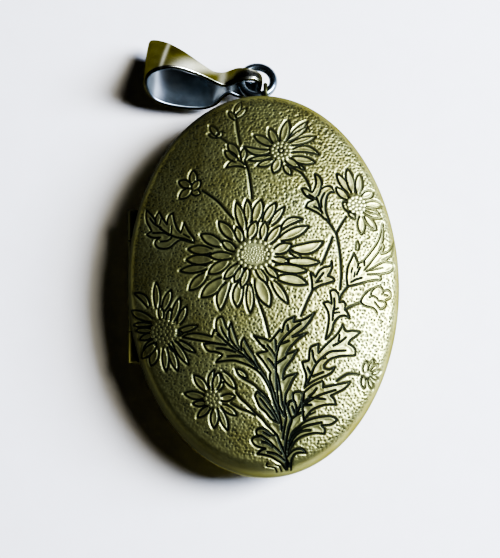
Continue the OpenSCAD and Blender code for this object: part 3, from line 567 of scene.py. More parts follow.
# lines inside and beside the leaves, as deep as their outlines
leafLines = [
    [(-11.87, 6.1), (-10.96, 5.41), (-10.5, 5.14), (-9.87, 4.86), (-9.15, 4.68), (-8.7, 4.5),
     (-7.95, 4.15)],
    [(-13.0, 7.4), (-12.5, 6.7), (-11.7, 6.1)], [(-12.7, 5.6), (-11.9, 5.55), (-11.3, 5.5), (-10.8, 5.2)],
    [(-11.8, 4.5), (-10.96, 4.55), (-10.5, 4.86)], [(5.4, 9.48), (5.95, 9.18), (6.3, 8.93)],
    [(6.26, 9.2), (6.5, 8.57), (6.65, 7.96), (6.93, 7.3)],
    [(7.23, 9.75), (6.93, 9.18), (6.8, 8.57), (6.87, 8.05)], [(6.74, 9.95), (6.5, 9.42)],
    [(5.95, 8.08), (6.45, 7.85), (6.8, 7.5)], [(6.86, 0.25), (6.36, -0.38), (6.05, -0.8)],
    [(11.55, 0.63), (12.05, 1.2), (12.68, 2.0), (13.43, 3.0), (13.8, 3.55)], [(11.6, 1.8), (11.6, 1.2)],
    [(11.8, 0.5), (12.55, 0.9), (13.3, 1.4), (13.9, 1.65)], [(11.9, 0.13), (13.1, 0.2)],
    [(11.3, -0.25), (10.55, -0.5), (10.0, -0.8)], [(11.1, 0.95), (10.68, 0.1)],
    [(10.95, 1.45), (10.8, 0.9)],
    [(10.7, 3.05), (10.72, 3.7), (10.85, 4.0), (11.0, 3.75), (11.05, 3.35), (10.9, 3.0)],
    [(8.0, -2.7), (8.0, -3.6), (7.84, -4.2), (7.75, -5.2)],
    [(9.18, -8.66), (8.24, -8.7), (7.4, -8.8), (6.87, -9.13), (6.13, -9.76), (5.6, -10.4), (5.08, -11.55),
     (4.7, -12.3)],
    [(9.24, -7.13), (8.76, -7.55), (8.2, -7.9), (7.7, -8.13)], [(8.5, -6.9), (8.35, -7.6)],
    [(5.34, -8.7), (5.45, -9.45), (5.76, -10.2)], [(4.76, -10.55), (5.08, -11.3)],
    [(6.55, -11.1), (5.9, -11.34), (5.3, -11.6)],
    [(7.9, -13.1), (7.08, -13.34), (6.24, -13.6), (5.6, -13.9), (4.3, -14.6)],
    [(5.76, -12.9), (5.3, -13.45), (4.8, -13.85)],
    [(4.3, -14.5), (4.7, -14.1), (5.3, -13.98), (6.0, -14.05), (6.7, -14.15)],
    [(4.1, -14.78), (5.1, -14.75)], [(4.2, -15.5), (3.5, -15.8), (2.9, -16.2)],
    [(6.25, -16.7), (5.25, -16.9), (4.4, -17.1), (3.6, -17.5), (3.0, -17.95), (2.5, -18.8)],
    [(5.0, -17.56), (4.0, -17.65), (3.25, -18.1), (2.7, -18.9), (2.3, -19.8)],
    [(1.5, -16.0), (1.35, -14.5), (1.26, -12.94), (1.2, -11.06), (1.2, -9.9), (1.32, -9.06), (1.5, -8.35),
     (1.74, -7.76), (2.2, -7.18), (2.8, -6.59), (3.5, -6.0), (4.1, -5.6)],
    [(1.74, -7.88), (2.2, -7.75), (2.7, -7.55)], [(1.4, -10.0), (2.32, -9.41)],
    [(2.62, -5.76), (2.62, -6.3)], [(0.26, -8.0), (0.8, -8.7), (1.2, -9.5)],
    [(0.32, -9.53), (0.7, -9.95), (1.15, -10.7)], [(1.2, -7.4), (1.22, -8.6)],
    [(1.32, -11.3), (1.5, -12.24), (1.68, -13.4), (1.8, -14.5), (2.1, -15.5), (2.2, -16.25), (2.0, -17.25),
     (1.8, -18.5)],
    [(-5.4, -6.65), (-4.9, -7.0), (-4.45, -7.46), (-3.98, -7.9), (-3.44, -8.35), (-2.6, -8.95),
     (-1.7, -9.75), (-0.9, -10.5)],
    [(-4.95, -5.77), (-4.8, -6.23), (-4.52, -6.7), (-4.1, -7.35)],
    [(-4.05, -6.3), (-3.97, -7.06), (-3.56, -7.76), (-3.0, -8.4)],
    [(-2.44, -8.35), (-2.15, -8.94), (-1.56, -9.65), (-1.1, -10.2)],
    [(-5.5, -8.2), (-4.9, -8.23), (-4.3, -8.38), (-3.4, -8.65)],
    [(-4.3, -9.15), (-3.4, -9.12), (-2.5, -9.2)], [(-5.6, -7.62), (-4.98, -7.75), (-4.4, -7.85)],
    [(-0.7, -13.94), (-0.1, -14.75), (0.5, -15.5), (1.0, -16.25)],
    [(2.5, -14.85), (2.6, -14.4), (3.0, -14.25), (3.3, -14.45)],
    [(2.9, -14.9), (3.1, -15.4), (3.25, -15.9)], [(-0.6, -18.75), (0.0, -18.9), (0.6, -19.3)],
    [(-0.5, -18.2), (0.25, -18.75), (0.9, -19.4), (1.6, -20.1)],
    [(0.0, -19.9), (0.75, -20.06), (1.4, -20.4), (2.0, -20.95)], [(-0.4, -17.7), (0.3, -18.1)],
    [(0.0, -21.1), (-0.08, -21.45), (0.4, -21.56), (0.9, -21.72), (1.06, -22.05)],
    [(0.9, -21.35), (1.4, -21.55), (1.6, -22.0)],
]
# finer lines
veins = [
    [(-9.1, 5.2), (-8.4, 4.75)], [(-10.5, 5.4), (-10.45, 6.3)], [(-11.85, 6.6), (-11.7, 7.2)],
    [(6.68, -0.7), (5.9, -0.9)], [(12.3, 0.63), (13.8, 1.0)], [(13.68, 1.9), (14.3, 2.25)],
    [(10.2, 0.9), (10.05, 0.3)], [(10.5, 0.4), (10.35, -0.2)], [(7.94, -4.06), (8.47, -3.82)],
    [(7.9, -4.4), (8.6, -4.3)], [(6.5, -9.6), (6.9, -9.5)], [(4.7, -15.9), (5.5, -15.55)],
    [(-5.3, -6.45), (-5.06, -6.7)], [(-0.7, -7.8), (-0.1, -8.1)],
]
stems = [
    [(-6.9, 10.35), (-5.9, 9.6), (-5.0, 8.8), (-3.9, 7.4), (-3.3, 6.7)],
    [(-2.85, 19.3), (-2.75, 18.0), (-2.56, 16.7), (-2.4, 15.8)],
    [(-1.8, 15.1), (-1.97, 14.36), (-1.8, 13.5), (-1.5, 12.5), (-1.3, 11.0), (-1.2, 10.0), (-1.15, 9.1)],
    [(-3.95, 16.2), (-4.75, 16.85)],
    [(3.4, 12.9), (4.49, 12.3), (4.98, 11.7), (5.34, 11.0), (5.59, 10.35), (5.7, 9.95)],
    [(7.3, 6.6), (7.66, 6.13), (8.15, 5.4), (8.43, 4.88), (8.6, 4.0), (8.74, 3.0), (8.83, 2.0),
     (8.86, 1.0), (8.86, 0.0), (8.76, -0.94), (8.7, -1.7)],
    [(9.7, 7.0), (9.05, 6.0), (8.43, 4.95)],
    [(8.0, 4.5), (7.68, 3.63), (7.3, 2.75), (6.99, 2.0), (6.6, 1.2)],
    [(5.5, -1.8), (5.2, -2.4), (4.9, -3.0), (4.5, -3.9), (4.15, -4.7)],
    [(9.6, -1.3), (9.1, -1.88), (8.76, -2.4), (8.58, -2.85)],
    [(9.18, -4.0), (9.7, -3.7), (10.3, -3.4), (10.85, -3.18)],
    [(-0.9, -2.2), (-0.45, -3.5), (0.05, -5.1), (0.5, -7.1)],
    [(8.0, -12.1), (8.5, -11.75), (9.1, -11.4), (9.75, -11.25), (10.6, -11.4)],
    [(-3.4, -13.2), (-2.9, -13.9), (-2.25, -14.5), (-1.4, -15.4), (-0.5, -16.25), (0.0, -16.9),
     (0.6, -17.5), (1.1, -18.1)],
    [(-4.0, -14.4), (-3.0, -15.0), (-2.0, -15.4), (-1.3, -15.8)],
    [(-3.38, -10.5), (-3.1, -11.2), (-2.6, -11.65), (-2.0, -12.0), (-1.3, -12.47), (-0.9, -12.9),
     (-0.2, -13.5), (0.4, -14.3)],
    [(0.6, -13.4), (0.75, -14.0), (1.1, -15.0), (1.4, -15.9), (1.6, -16.6), (1.65, -17.5)],
    [(2.25, -14.6), (2.6, -15.75), (2.8, -16.4), (2.5, -17.25), (2.25, -18.25), (2.06, -19.5),
     (2.0, -20.5)],
    [(1.1, -18.0), (1.5, -19.0), (1.9, -20.0), (2.2, -21.0), (2.3, -21.9)], [(2.75, -20.9), (2.7, -21.9)],
]
# the bud on the right: lines only, on a smooth patch
budLines = [
    [(11.0, -3.06), (11.24, -2.59), (11.59, -2.1), (12.06, -1.7), (12.53, -1.47)],
    [(11.0, -3.06), (11.47, -3.47), (12.18, -3.65), (12.53, -3.8), (12.8, -4.2)],
    [(12.24, -2.18), (12.4, -1.76), (12.76, -1.4), (13.1, -1.24), (13.5, -1.4), (13.7, -1.88),
     (13.5, -2.15)],
    [(13.88, -1.7), (14.3, -1.65), (14.6, -2.0), (14.6, -2.35), (14.3, -2.6), (13.95, -2.75)],
    [(13.8, -2.94), (13.94, -3.3), (13.7, -3.65), (13.3, -3.8), (13.0, -3.5), (12.65, -3.06)],
    [(12.06, -2.53), (12.5, -2.35), (13.0, -2.65), (13.1, -2.88), (13.7, -2.95)],
    [(13.8, -2.2), (14.2, -2.25)],
]
budPatch = [
    (10.95, -3.06, 1), (11.59, -2.1), (12.3, -1.5), (13.1, -1.2), (13.7, -1.5), (14.3, -1.6),
    (14.65, -2.15), (14.0, -2.85), (13.95, -3.4), (13.4, -3.85), (12.6, -3.8), (11.47, -3.47),
]
# skin without pits between the lowest stems
stemPatch = [
    (0.4, -12.2, 1), (2.3, -13.0), (4.2, -13.6), (4.2, -15.5), (3.4, -17.0), (2.7, -19.0), (2.5, -21.6, 1),
    (1.9, -21.6), (1.2, -18.5), (0.6, -17.4), (0.8, -15.5),
]

cut = {
    "petalCut": {"half": 0.14, "depth": 0.16},
    "leafCut": {"half": 0.125, "depth": 0.15},
    "stemCut": {"half": 0.15, "depth": 0.15},
    "veinCut": {"half": 0.11, "depth": 0.10},
    "spacing": 0.085,           # between the points along a cut
    "rows": (0.6, 1.15, 1.8),   # lines of points beside it, in half widths
    "beadRadius": 0.26,
    "seedRadius": 0.09,
    "pitPitch": 0.39,
    "pitJitter": 0.36,          # share of the pitch
    "pitRadius": 0.10,
    "pitSeed": 11,
    "pitFromCut": 0.27,
    "pitFromEdge": 1.0,
    "cutFromHeart": 0.2,
    "pitFromHeart": 0.3,
    "hidden": 0.95,             # share of a petal's width that hides what runs under it
}


# lines of the cuts, sampled along their length on the flattened leaf

def sampled(points, step, closed=False):
    spots = [np.array(p[:2]) for p in points]
    sharp = [len(p) == 3 for p in points]
    count = len(points)
    out = []
    for i in range(count if closed else count - 1):
        n = (i + 1) % count
        b, c = spots[i], spots[n]
        a = spots[i - 1] if (closed or i) and not sharp[i] else b
        d = spots[(i + 2) % count] if (closed or i + 2 < count) and not sharp[n] else c
        parts = max(2, int(np.linalg.norm(c - b) / step))
        out += [curvePoint(a, b, c, d, k / parts) for k in range(parts)]
    return np.array(out if closed else out + [spots[-1]])


# a petal is fullest near its middle, narrows to its root and comes to a point
petalForm = {
    "widest": 0.5,
    "root": 0.5,
    "narrowing": 2.2,
    "rounding": 1.8,
    "point": 0.85,
    "covers": (0.02, 0.97),     # part of its length that hides what runs under it
}


class Petal:
    def __init__(self, tip, root, width, bow):
        self.root = root
        self.half, self.bow = width / 2, bow
        self.length = np.linalg.norm(tip - root)
        self.along = (tip - root) / self.length
        self.side = np.array([-self.along[1], self.along[0]])

    def profile(self, s):
        widest = petalForm["widest"]
        inward = np.clip((widest - s) / widest, 0, 1)
        outward = np.clip((s - widest) / (1 - widest), 0, 1)
        narrowed = 1 - (1 - petalForm["root"]) * inward ** petalForm["narrowing"]
        return self.half * narrowed * (1 - outward ** petalForm["rounding"]) ** petalForm["point"]

    def outline(self, step):
        count = max(10, int(self.length / step))
        s = 1 - np.linspace(0, 1, count) ** 1.25
        middle = self.root + np.outer(s * self.length, self.along)
        middle = middle + np.outer(self.bow * 4 * s * (1 - s), self.side)
        width = np.outer(self.profile(s), self.side)
        return np.concatenate([(middle + width)[::-1], (middle - width)[1:]])

    def inside(self, points):
        # how far along and how far across, 1 at the edge
        away = points - self.root
        s = away @ self.along / self.length
        t = (away @ self.side - self.bow * 4 * s * (1 - s)) / np.maximum(self.profile(s), 0.02)
        return s, t


def insideOutline(points, outline):
    inside = np.zeros(len(points), bool)
    close = ((points > outline.min(0)) & (points < outline.max(0))).all(1)
    x, y = points[close, 0], points[close, 1]
    odd = np.zeros(len(x), bool)
    for (x0, y0), (x1, y1) in zip(outline, np.roll(outline, -1, 0)):
        crosses = (y0 > y) != (y1 > y)
        odd ^= crosses & (x < (x1 - x0) * (y - y0) / (y1 - y0 + 1e-12) + x0)
    inside[close] = odd
    return inside


# charts are plan positions; the flattened leaf is where widths are true
def flatPetal(tip, root, width, bow=0):
    return Petal(*flatten([tip, root]), width, bow)


def flatOutline(shape):
    return sampled([tuple(flatten([p[:2]])[0]) + tuple(p[2:]) for p in shape], step, True)


step = cut["spacing"]
layers = [[flatPetal(*row) for row in rows] for rows in spray.values()]
allPetals = [petal for layer in layers for petal in layer]
leafOutlines = [flatOutline(shape) for shape in leaves]
smoothPatches = [flatOutline(budPatch), flatOutline(stemPatch)]
heartSpots = [(flatten([middle])[0], wide, high) for middle, wide, high in hearts]


def inHeart(points, grow=0.0):
    found = np.zeros(len(points), bool)
    for middle, wide, high in heartSpots:
        away = (points - middle) / np.array([wide + grow, high + grow])
        found |= (away ** 2).sum(1) < 1
    return found


def hiddenBy(points, petals, edge=0.86):
    low, high = petalForm["covers"]
    found = np.zeros(len(points), bool)
    for petal in petals:
        s, t = petal.inside(points)
        found |= (s > low) & (s < high) & (np.abs(t) < edge)
    return found


cuts = []      # points of a line, and its kind
for order, layer in enumerate(layers):
    above = layers[1] if order == 0 else []
    for place, petal in enumerate(layer):
        line = petal.outline(step)
        over = above + [other for k, other in enumerate(layer) if k % 2 > place % 2]
        cuts.append((line[~hiddenBy(line, over) & ~inHeart(line, cut["cutFromHeart"])], cut["petalCut"]))
for outline in leafOutlines:
    cuts.append((outline[~hiddenBy(outline, allPetals, cut["hidden"])], cut["leafCut"]))
for lines, kind in ((leafLines, "leafCut"), (budLines, "leafCut"), (veins, "veinCut")):
    for line in lines:
        cuts.append((sampled(flatten(line).tolist(), step), cut[kind]))
for line in stems:
    points = sampled(flatten(line).tolist(), step)
    cuts.append((points[~hiddenBy(points, allPetals, cut["hidden"])], cut["stemCut"]))

cutPoints = np.concatenate([line for line, kind in cuts])
cutHalf = np.concatenate([np.full(len(line), kind["half"]) for line, kind in cuts])
cutDepth = np.concatenate([np.full(len(line), kind["depth"]) for line, kind in cuts])
print("spray drawn:", len(cutPoints), "points on its cuts")


# beads in the hearts

heartForm = {
    "oneBead": (0.5, 0.3),      # half width under which a heart is one bead, and its radius
    "bigFrom": 1.5,             # half width of a big heart
    "smallBead": 0.85,          # beads of a small heart, as a share of the others
    "beadGap": 2.15,            # along a row, in bead radii
    "rowGap": 1.95,
    "innerBead": (0.95, 0.9),   # share of the inner rows' beads, and of the middle one
    "secondRow": (1.9, 3.1),    # gap to the second row and along it, in bead radii
    "secondOpen": (-0.6, 1.1),  # it is open between these, from the middle
    "seedReach": 2.2,
    "seedShare": 0.35,
    "seedGap": 0.6,
    "seedTurn": 2.39996,        # each seed stands this far round from the last
}


def ovalOfBeads(middle, wide, high, radius, count):
    turn = fullTurn(count)
    spots = middle + np.column_stack([wide * np.cos(turn), high * np.sin(turn)])
    return [(spot, radius) for spot in spots]


def ovalLength(wide, high):
    return math.pi * (3 * (wide + high) - math.sqrt((3 * wide + high) * (wide + 3 * high)))


def smallHeart(middle, wide, high):
    bead = cut["beadRadius"] * heartForm["smallBead"]
    rowShare, middleShare = heartForm["innerBead"]
    around = ovalLength(wide, high)
    found = ovalOfBeads(middle, wide, high, bead, int(around / (bead * heartForm["beadGap"])))
    for row in (1, 2):
        inward = bead * heartForm["rowGap"] * row
        if wide - inward > bead:
            count = int((wide - inward) / bead * 3)
            found += ovalOfBeads(middle, wide - inward, high - inward, bead * rowShare, count)
    return found + [(middle, bead * middleShare)]


def bigHeart(middle, wide, high):
    # its beads stand two deep at both sides, with fine seeds between them
    bead, seed = cut["beadRadius"], cut["seedRadius"]
    around = ovalLength(wide, high)
    found = ovalOfBeads(middle, wide, high, bead, int(around / (bead * heartForm["beadGap"])))
    inward, along = bead * heartForm["secondRow"][0], bead * heartForm["secondRow"][1]
    smaller = bead * heartForm["smallBead"]
    second = ovalOfBeads(middle, wide - inward, high - inward, smaller, int(around / along))
    left, right = heartForm["secondOpen"]
    found += [(spot, size) for spot, size in second if not left <= spot[0] - middle[0] <= right]
    reach = np.array([wide, high]) - bead * heartForm["seedReach"]
    count = int(reach[0] * reach[1] / seed ** 2 * heartForm["seedShare"])
    for k in range(count):
        turn = k * heartForm["seedTurn"]
        spot = middle + reach * math.sqrt((k + 0.5) / count) * np.array([math.cos(turn), math.sin(turn)])
        if min(np.linalg.norm(spot - other) - size for other, size in found) > seed * heartForm["seedGap"]:
            found.append((spot, seed))
    return found


beads = []
for middle, wide, high in heartSpots:
    if wide < heartForm["oneBead"][0]:
        beads.append((middle, heartForm["oneBead"][1]))
    else:
        beads += (bigHeart if wide > heartForm["bigFrom"] else smallHeart)(middle, wide, high)


# the cover's mesh: dense where something is cut, even elsewhere

def nearTree(points):
    tree = kdtree.KDTree(len(points))
    for index, (x, y) in enumerate(points):
        tree.insert((x, y, 0), index)
    tree.balance()
    return tree


def nearest(tree, points):
    index = np.empty(len(points), int)
    away = np.empty(len(points))
    for k, (x, y) in enumerate(points):
        spot, index[k], away[k] = tree.find((x, y, 0))
    return index, away


def hexGrid(pitch, jitter=0.0, seed=0):
    random = np.random.default_rng(seed)
    rowShare = 0.866       # rows stand closer than the points in them
    rows, columns = int(arcLength / (pitch * rowShare)), int(arcLength * stretch / pitch)
    i, j = np.mgrid[-rows:rows + 1, -columns:columns + 1]
    points = np.column_stack([((j + (i % 2) * 0.5) * pitch).ravel(), (i * pitch * rowShare).ravel()])
    points += random.uniform(-jitter, jitter, points.shape)
    return onLeaf(points, pitch * 0.6)


def beside(line, away):
    direction = unit(np.gradient(line, axis=0))
    return line + np.column_stack([-direction[:, 1], direction[:, 0]]) * away


def onLeaf(points, margin):
    return points[ovalRadius(points) < arcLength - margin]


def spaced(points, gap):
    # drops points that share a small square with another
    return points[np.unique(np.floor(points / gap).astype(int), axis=0, return_index=True)[1]]


def joined(mesh, points, gap):
    # adds the points that keep this far from the mesh
    return np.concatenate([mesh, points[nearest(nearTree(mesh), points)[1] > gap]])


def circleOf(middles, radius, count, start=0.0):
    turn = fullTurn(count) + start
    ring = radius * np.column_stack([np.cos(turn), np.sin(turn)])
    return (middles[:, None] + ring[None]).reshape(-1, 2)


meshing = {
    "beadCircles": ((0.5, 6), (0.85, 9), (1.1, 9)),     # points round a bead: share of its radius, how many
    "pitCorners": 6,
    "pitEdge": 1.8,           # pit radii from its middle to the ring where it ends
    # for each kind of point: spacing among themselves, and gap to the points before them
    "cuts": (0.05, 0),
    "sides": (0.06, 0.062),
    "pits": (0, 0.06),
    "pitEdges": (0.07, 0.065),
    "even": (0.15, 0.085),
    "cutMargin": 0.1,         # from the leaf's edge
    "sideMargin": 0.08,
}
sides = [beside(line, side * row * kind["half"])
         for line, kind in cuts if len(line) > 3 for row in cut["rows"] for side in (-1, 1)]
beadMesh = [np.array([spot]) for spot, size in beads]
for spot, size in beads:
    beadMesh += [circleOf(np.array([spot]), share * size, count, share)
                 for share, count in meshing["beadCircles"]]

pits = hexGrid(cut["pitPitch"], cut["pitPitch"] * cut["pitJitter"], cut["pitSeed"])
cutTree = nearTree(cutPoints)
awayFromCut = nearest(cutTree, pits)[1]
onSpray = hiddenBy(pits, allPetals, 1.0) | inHeart(pits, cut["pitFromHeart"])
for outline in leafOutlines + smoothPatches:
    onSpray |= insideOutline(pits, outline)
pits = onLeaf(pits[(awayFromCut > cut["pitFromCut"]) & ~onSpray], cut["pitFromEdge"])
print("ground pricked:", len(pits), "pits")

corners, pitRadius = meshing["pitCorners"], cut["pitRadius"]
mesh = spaced(onLeaf(np.concatenate([cutPoints] + beadMesh), meshing["cutMargin"]), meshing["cuts"][0])
sides = spaced(onLeaf(np.concatenate(sides), meshing["sideMargin"]), meshing["sides"][0])
mesh = joined(mesh, sides, meshing["sides"][1])
mesh = joined(mesh, np.concatenate([pits, circleOf(pits, pitRadius, corners)]), meshing["pits"][1])
pitEdges = spaced(circleOf(pits, pitRadius * meshing["pitEdge"], corners, 0.5), meshing["pitEdges"][0])
mesh = joined(mesh, pitEdges, meshing["pitEdges"][1])
mesh = joined(mesh, hexGrid(meshing["even"][0]), meshing["even"][1])
edgeTurn = fullTurn(leaf["segments"])
edge = arcLength * np.column_stack([np.cos(edgeTurn) * stretch, np.sin(edgeTurn)])
mesh = np.concatenate([mesh, edge])
print("cover points:", len(mesh))

found = delaunay_2d_cdt([Vector(p) for p in mesh.tolist()], [], [], 0, 1e-7)
flat = np.array([tuple(p) for p in found[0]])
triangles = np.array([list(face) for face in found[2]])
print("cover faces:", len(triangles))


# height of every point of the cover

relief = {
    # fades: where they start and are full
    "petalTip": (1.0, 0.7),         # along a petal, 1 at its tip
    "petalRoot": (0, 0.3),
    "rootShade": (0.45, 0.0),
    "leafHollow": (0.1, 0.5),       # mm from the nearest cut
    "nearCut": (0.8, 2.0),          # half widths from the nearest cut
    "lipAcross": (-14, 2),          # across the leaf, mm: lips are low by the hinge
    "pitAcross": (-8, 8),
    "pitNearCut": (1.2, 1.7),
    "edge": (0.4, 1.6),             # mm from the leaf's edge
    # forms
    "petalEnds": (-0.02, 1),
    "petalRise": 0.012,
    "petalDish": 0.085,             # how deep a petal is hollowed along its middle
    "leafDish": 0.085,
    "sprayFlank": 1.25,             # reach of a cut's flank, in half widths
    "groundFlank": 1.9,
    "lip": 0.019,                   # metal pushed up beside a cut
    "lipPlace": 2.0,                # in half widths
    "lipReach": 0.4,
    "cutFloor": 1.05,               # over 1, so that a cut's floor is flat
    "heartRise": 0.02,
    "beadRise": 0.22,               # share of the radius
    "seedRise": 0.35,
    "beadFoot": (0.95, 1.25),       # where a bead ends, and the heart's skin with it, in bead radii
    "pitDepth": 0.042,
    "pitSizes": (0.6, 1.15),
    "pitSizeSeed": 5,
    "pitSlope": (2.1, 1.3),         # depth in its middle before it is cut off flat, and its fall
    "pitSideDepth": (0.8, 0.6),     # by the hinge, and what the other side adds
    "pitStart": (1.2, 1.6),         # mm from the edge, and what the bare side adds
    "pitFull": (2.4, 2.2),
    "barePlace": (0.75, 0.66),      # way to the lower left, where the edge is bare of pits
    "bareFrom": (0.2, 1.0),         # along that way, as shares of the leaf's length
}
x, y = flat[:, 0], flat[:, 1]
fromEdge = arcLength - ovalRadius(flat)
index, away = nearest(cutTree, flat)
fromCut = away / cutHalf[index]
height, rootShade = np.zeros(len(flat)), np.zeros(len(flat))
spraySkin, leafSkin = np.zeros(len(flat), bool), np.zeros(len(flat), bool)
for petal in allPetals:
    s, t = petal.inside(flat)
    here = (s > relief["petalEnds"][0]) & (s < relief["petalEnds"][1]) & (np.abs(t) < 1)
    hollow = np.clip(1 - t ** 2, 0, 1) * smoothStep(*relief["petalTip"], s)
    hollow = hollow * smoothStep(*relief["petalRoot"], s)
    height = np.where(here, relief["petalRise"] - relief["petalDish"] * hollow, height)
    rootShade = np.where(here, smoothStep(*relief["rootShade"], s), rootShade)
    spraySkin |= here
for outline in leafOutlines + smoothPatches:
    here = insideOutline(flat, outline)
    height = np.where(here, -relief["leafDish"] * smoothStep(*relief["leafHollow"], away), height)
    spraySkin |= here
    leafSkin |= here

beadIndex, beadAway = nearest(nearTree([spot for spot, size in beads]), flat)
beadSize = np.array([size for spot, size in beads])[beadIndex]
beadAway = beadAway / beadSize
bigBead = beadSize > cut["seedRadius"]
foot, skin = relief["beadFoot"]
heartHere = inHeart(flat, cut["pitFromHeart"]) & (beadAway < skin) | inHeart(flat)
dome = np.clip(1 - (beadAway / foot) ** 4, 0, 1) * np.where(bigBead, relief["beadRise"], relief["seedRise"])
height = np.where(heartHere, relief["heartRise"] + dome * beadSize, height)

# a cut is steep on the side of the petal or leaf and runs out gently on the ground
flank = np.where(spraySkin, relief["sprayFlank"], relief["groundFlank"])
groove = np.clip(relief["cutFloor"] - fromCut / flank, 0, 1) * ~heartHere
lip = np.exp(-((fromCut - relief["lipPlace"]) / relief["lipReach"]) ** 2) * ~(heartHere | spraySkin)
height = height * np.where(heartHere, 1, smoothStep(*relief["nearCut"], fromCut)) - groove * cutDepth[index]
height = height + lip * relief["lip"] * (0.5 + 0.5 * smoothStep(*relief["lipAcross"], x))

pitIndex, pitAway = nearest(nearTree(pits), flat)
pitSize = np.random.default_rng(relief["pitSizeSeed"]).uniform(*relief["pitSizes"], len(pits))[pitIndex]
bare = smoothStep(*relief["bareFrom"], -(flat @ np.array(relief["barePlace"])) / arcLength)
start, full = [least + bare * more for least, more in (relief["pitStart"], relief["pitFull"])]
pricked = smoothStep(start, full, fromEdge) * smoothStep(*relief["pitNearCut"], fromCut) * ~spraySkin
deep, fall = relief["pitSlope"]
pit = np.clip(deep - fall * pitAway / pitRadius, 0, 1) * pitSize * pricked
least, more = relief["pitSideDepth"]
height = height - pit * relief["pitDepth"] * (least + more * smoothStep(*relief["pitAcross"], x))
height = height * smoothStep(*relief["edge"], fromEdge)


# age and painted light of every point of the cover: the dark is patina left in the cuts and pits, with
# painted shade on the lips of the shaded side, on the rim and at the petal roots, and the leaves made darker;
# the bright is wear rubbed on the hearts and petals, with painted highlight along the lips

old = {
    "inCut": (1.4, 0.8),            # half widths from the nearest cut
    "onLip": (2.8, 1.5),
    "shadedSide": (0, -10),            # across the leaf, mm
    "glareSide": (9, 15),
    "leafFadeAcross": (3, 12),
    "rimAcross": (12, -8),
    "top": (12, 20),                # along the leaf, mm
    "rim": (2.7, 1.6),              # mm from the leaf's edge, for the painted shade on the rim
    "beadStart": (0.75, 1.0),       # bead radii
    "beadEnd": (1.8, 1.3),
    "petalTop": (1, 2.2),           # half widths from the nearest cut
    # shares of the dark
    "topClean": 0.1,
    # painted shade on the lips of the shaded side
    "lipShadeShare": 0.6,
    # painted highlight: how much lighter the cuts are on the lit right side
    "glareLift": 0.35,
    "rimDark": 0.85,
    "beadDark": 1.1,
    "seedDark": 0.5,
    "heartDark": 0.9,
    "leafDark": 0.66,
    "leafFadeShare": 0.85,
    "leafFadeOnShadedSide": 0.6,
    "rootDark": 0.1,
    # shares of the wear and painted highlight
    "lipWearAndHighlight": 0.12,
    "beadWear": 0.25,
    "seedWear": 0.4,
    "petalWear": 0.12,
}
shadedSide = smoothStep(*old["shadedSide"], x)
cleanTop = 1 - old["topClean"] * smoothStep(*old["top"], y)
patinaAndShade = smoothStep(*old["inCut"], fromCut) * np.where(heartHere, 0, cleanTop)
# painted shade: lips and flanks beside the cuts darkened on the shaded hinge side, dimming their highlights
shadedLip = old["lipShadeShare"] * shadedSide * smoothStep(*old["onLip"], fromCut) * ~(spraySkin | heartHere)
# painted highlight: the dark of the cuts and lips is lifted on the lit right side, where glare washes it out
patinaAndShade = np.maximum(patinaAndShade, shadedLip) * (1 - old["glareLift"] * smoothStep(*old["glareSide"], x))
# painted shade on the rim, near the edge and stronger towards the left
rim = old["rimDark"] * smoothStep(*old["rim"], fromEdge) * smoothStep(*old["rimAcross"], x)
betweenBeads = smoothStep(*old["beadStart"], beadAway) * smoothStep(*old["beadEnd"], beadAway)
betweenBeads = betweenBeads * heartHere * np.where(bigBead, old["beadDark"], old["seedDark"])
# the leaves are made darker, less so towards the right and on the shaded side
leafFade = 1 - old["leafFadeShare"] * smoothStep(*old["leafFadeAcross"], x)
onLeaves = leafSkin * old["leafDark"] * leafFade * (1 - old["leafFadeOnShadedSide"] * shadedSide)
patinaAndShade = np.maximum.reduce([patinaAndShade, rim, betweenBeads * old["heartDark"], pit])
patinaAndShade = patinaAndShade + rootShade * old["rootDark"] + onLeaves
# wear rubbed bright on the hearts and petals, and painted highlight along the lips beside the cuts
wearAndHighlight = lip * old["lipWearAndHighlight"] + heartHere * np.where(bigBead, old["beadWear"], old["seedWear"])
wearAndHighlight = wearAndHighlight + (spraySkin & ~leafSkin) * old["petalWear"] * smoothStep(*old["petalTop"], fromCut)


# The cover's skin is cut out in two pieces that meet in the dark of the cuts
def coverSkin(name, faces):
    used, renumbered = np.unique(faces, return_inverse=True)
    faces = renumbered.reshape(-1, 3).tolist()
    piece = makeMesh(name, raised[used], faces, coverBrass, "cover_leaf")
    piece.data.normals_split_custom_set_from_vertices(coverNormals[used].tolist())
    storeValues(piece, "patinaAndShade", patinaAndShade[used])
    storeValues(piece, "wearAndHighlight", wearAndHighlight[used])
    uv = piece.data.uv_layers.new(name="OFBake")
    corner = np.empty(len(piece.data.loops), np.int32)
    piece.data.loops.foreach_get("vertex_index", corner)
    spread = (flat[used] / (2.02 * arcLength) + 0.5)[corner]
    uv.data.foreach_set("uv", spread.ravel().astype(np.float32))
    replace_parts(piece, "cover")
    print(name, len(faces), "faces")


raised = raiseOnDome(flat, height) + np.array([0, 0, partZ + leaf["seam"] / 2])
corners = raised[triangles]
facing = np.cross(corners[:, 1] - corners[:, 0], corners[:, 2] - corners[:, 0])
triangles[facing[:, 2] < 0] = triangles[facing[:, 2] < 0][:, ::-1]
facing[facing[:, 2] < 0] *= -1
coverNormals = np.zeros_like(raised)
for k in range(3):
    np.add.at(coverNormals, triangles[:, k], facing)
coverNormals = unit(coverNormals)
onGround = ~(spraySkin | heartHere)[triangles].any(1)
coverSkin("coverGround", triangles[onGround])
coverSkin("coverSpray", triangles[~onGround])


# edge, lip and hollow of both leaves

shell = {"domeRings": 40, "hollowRings": 24, "bevel": 0.05, "outerBevel": 0.06}


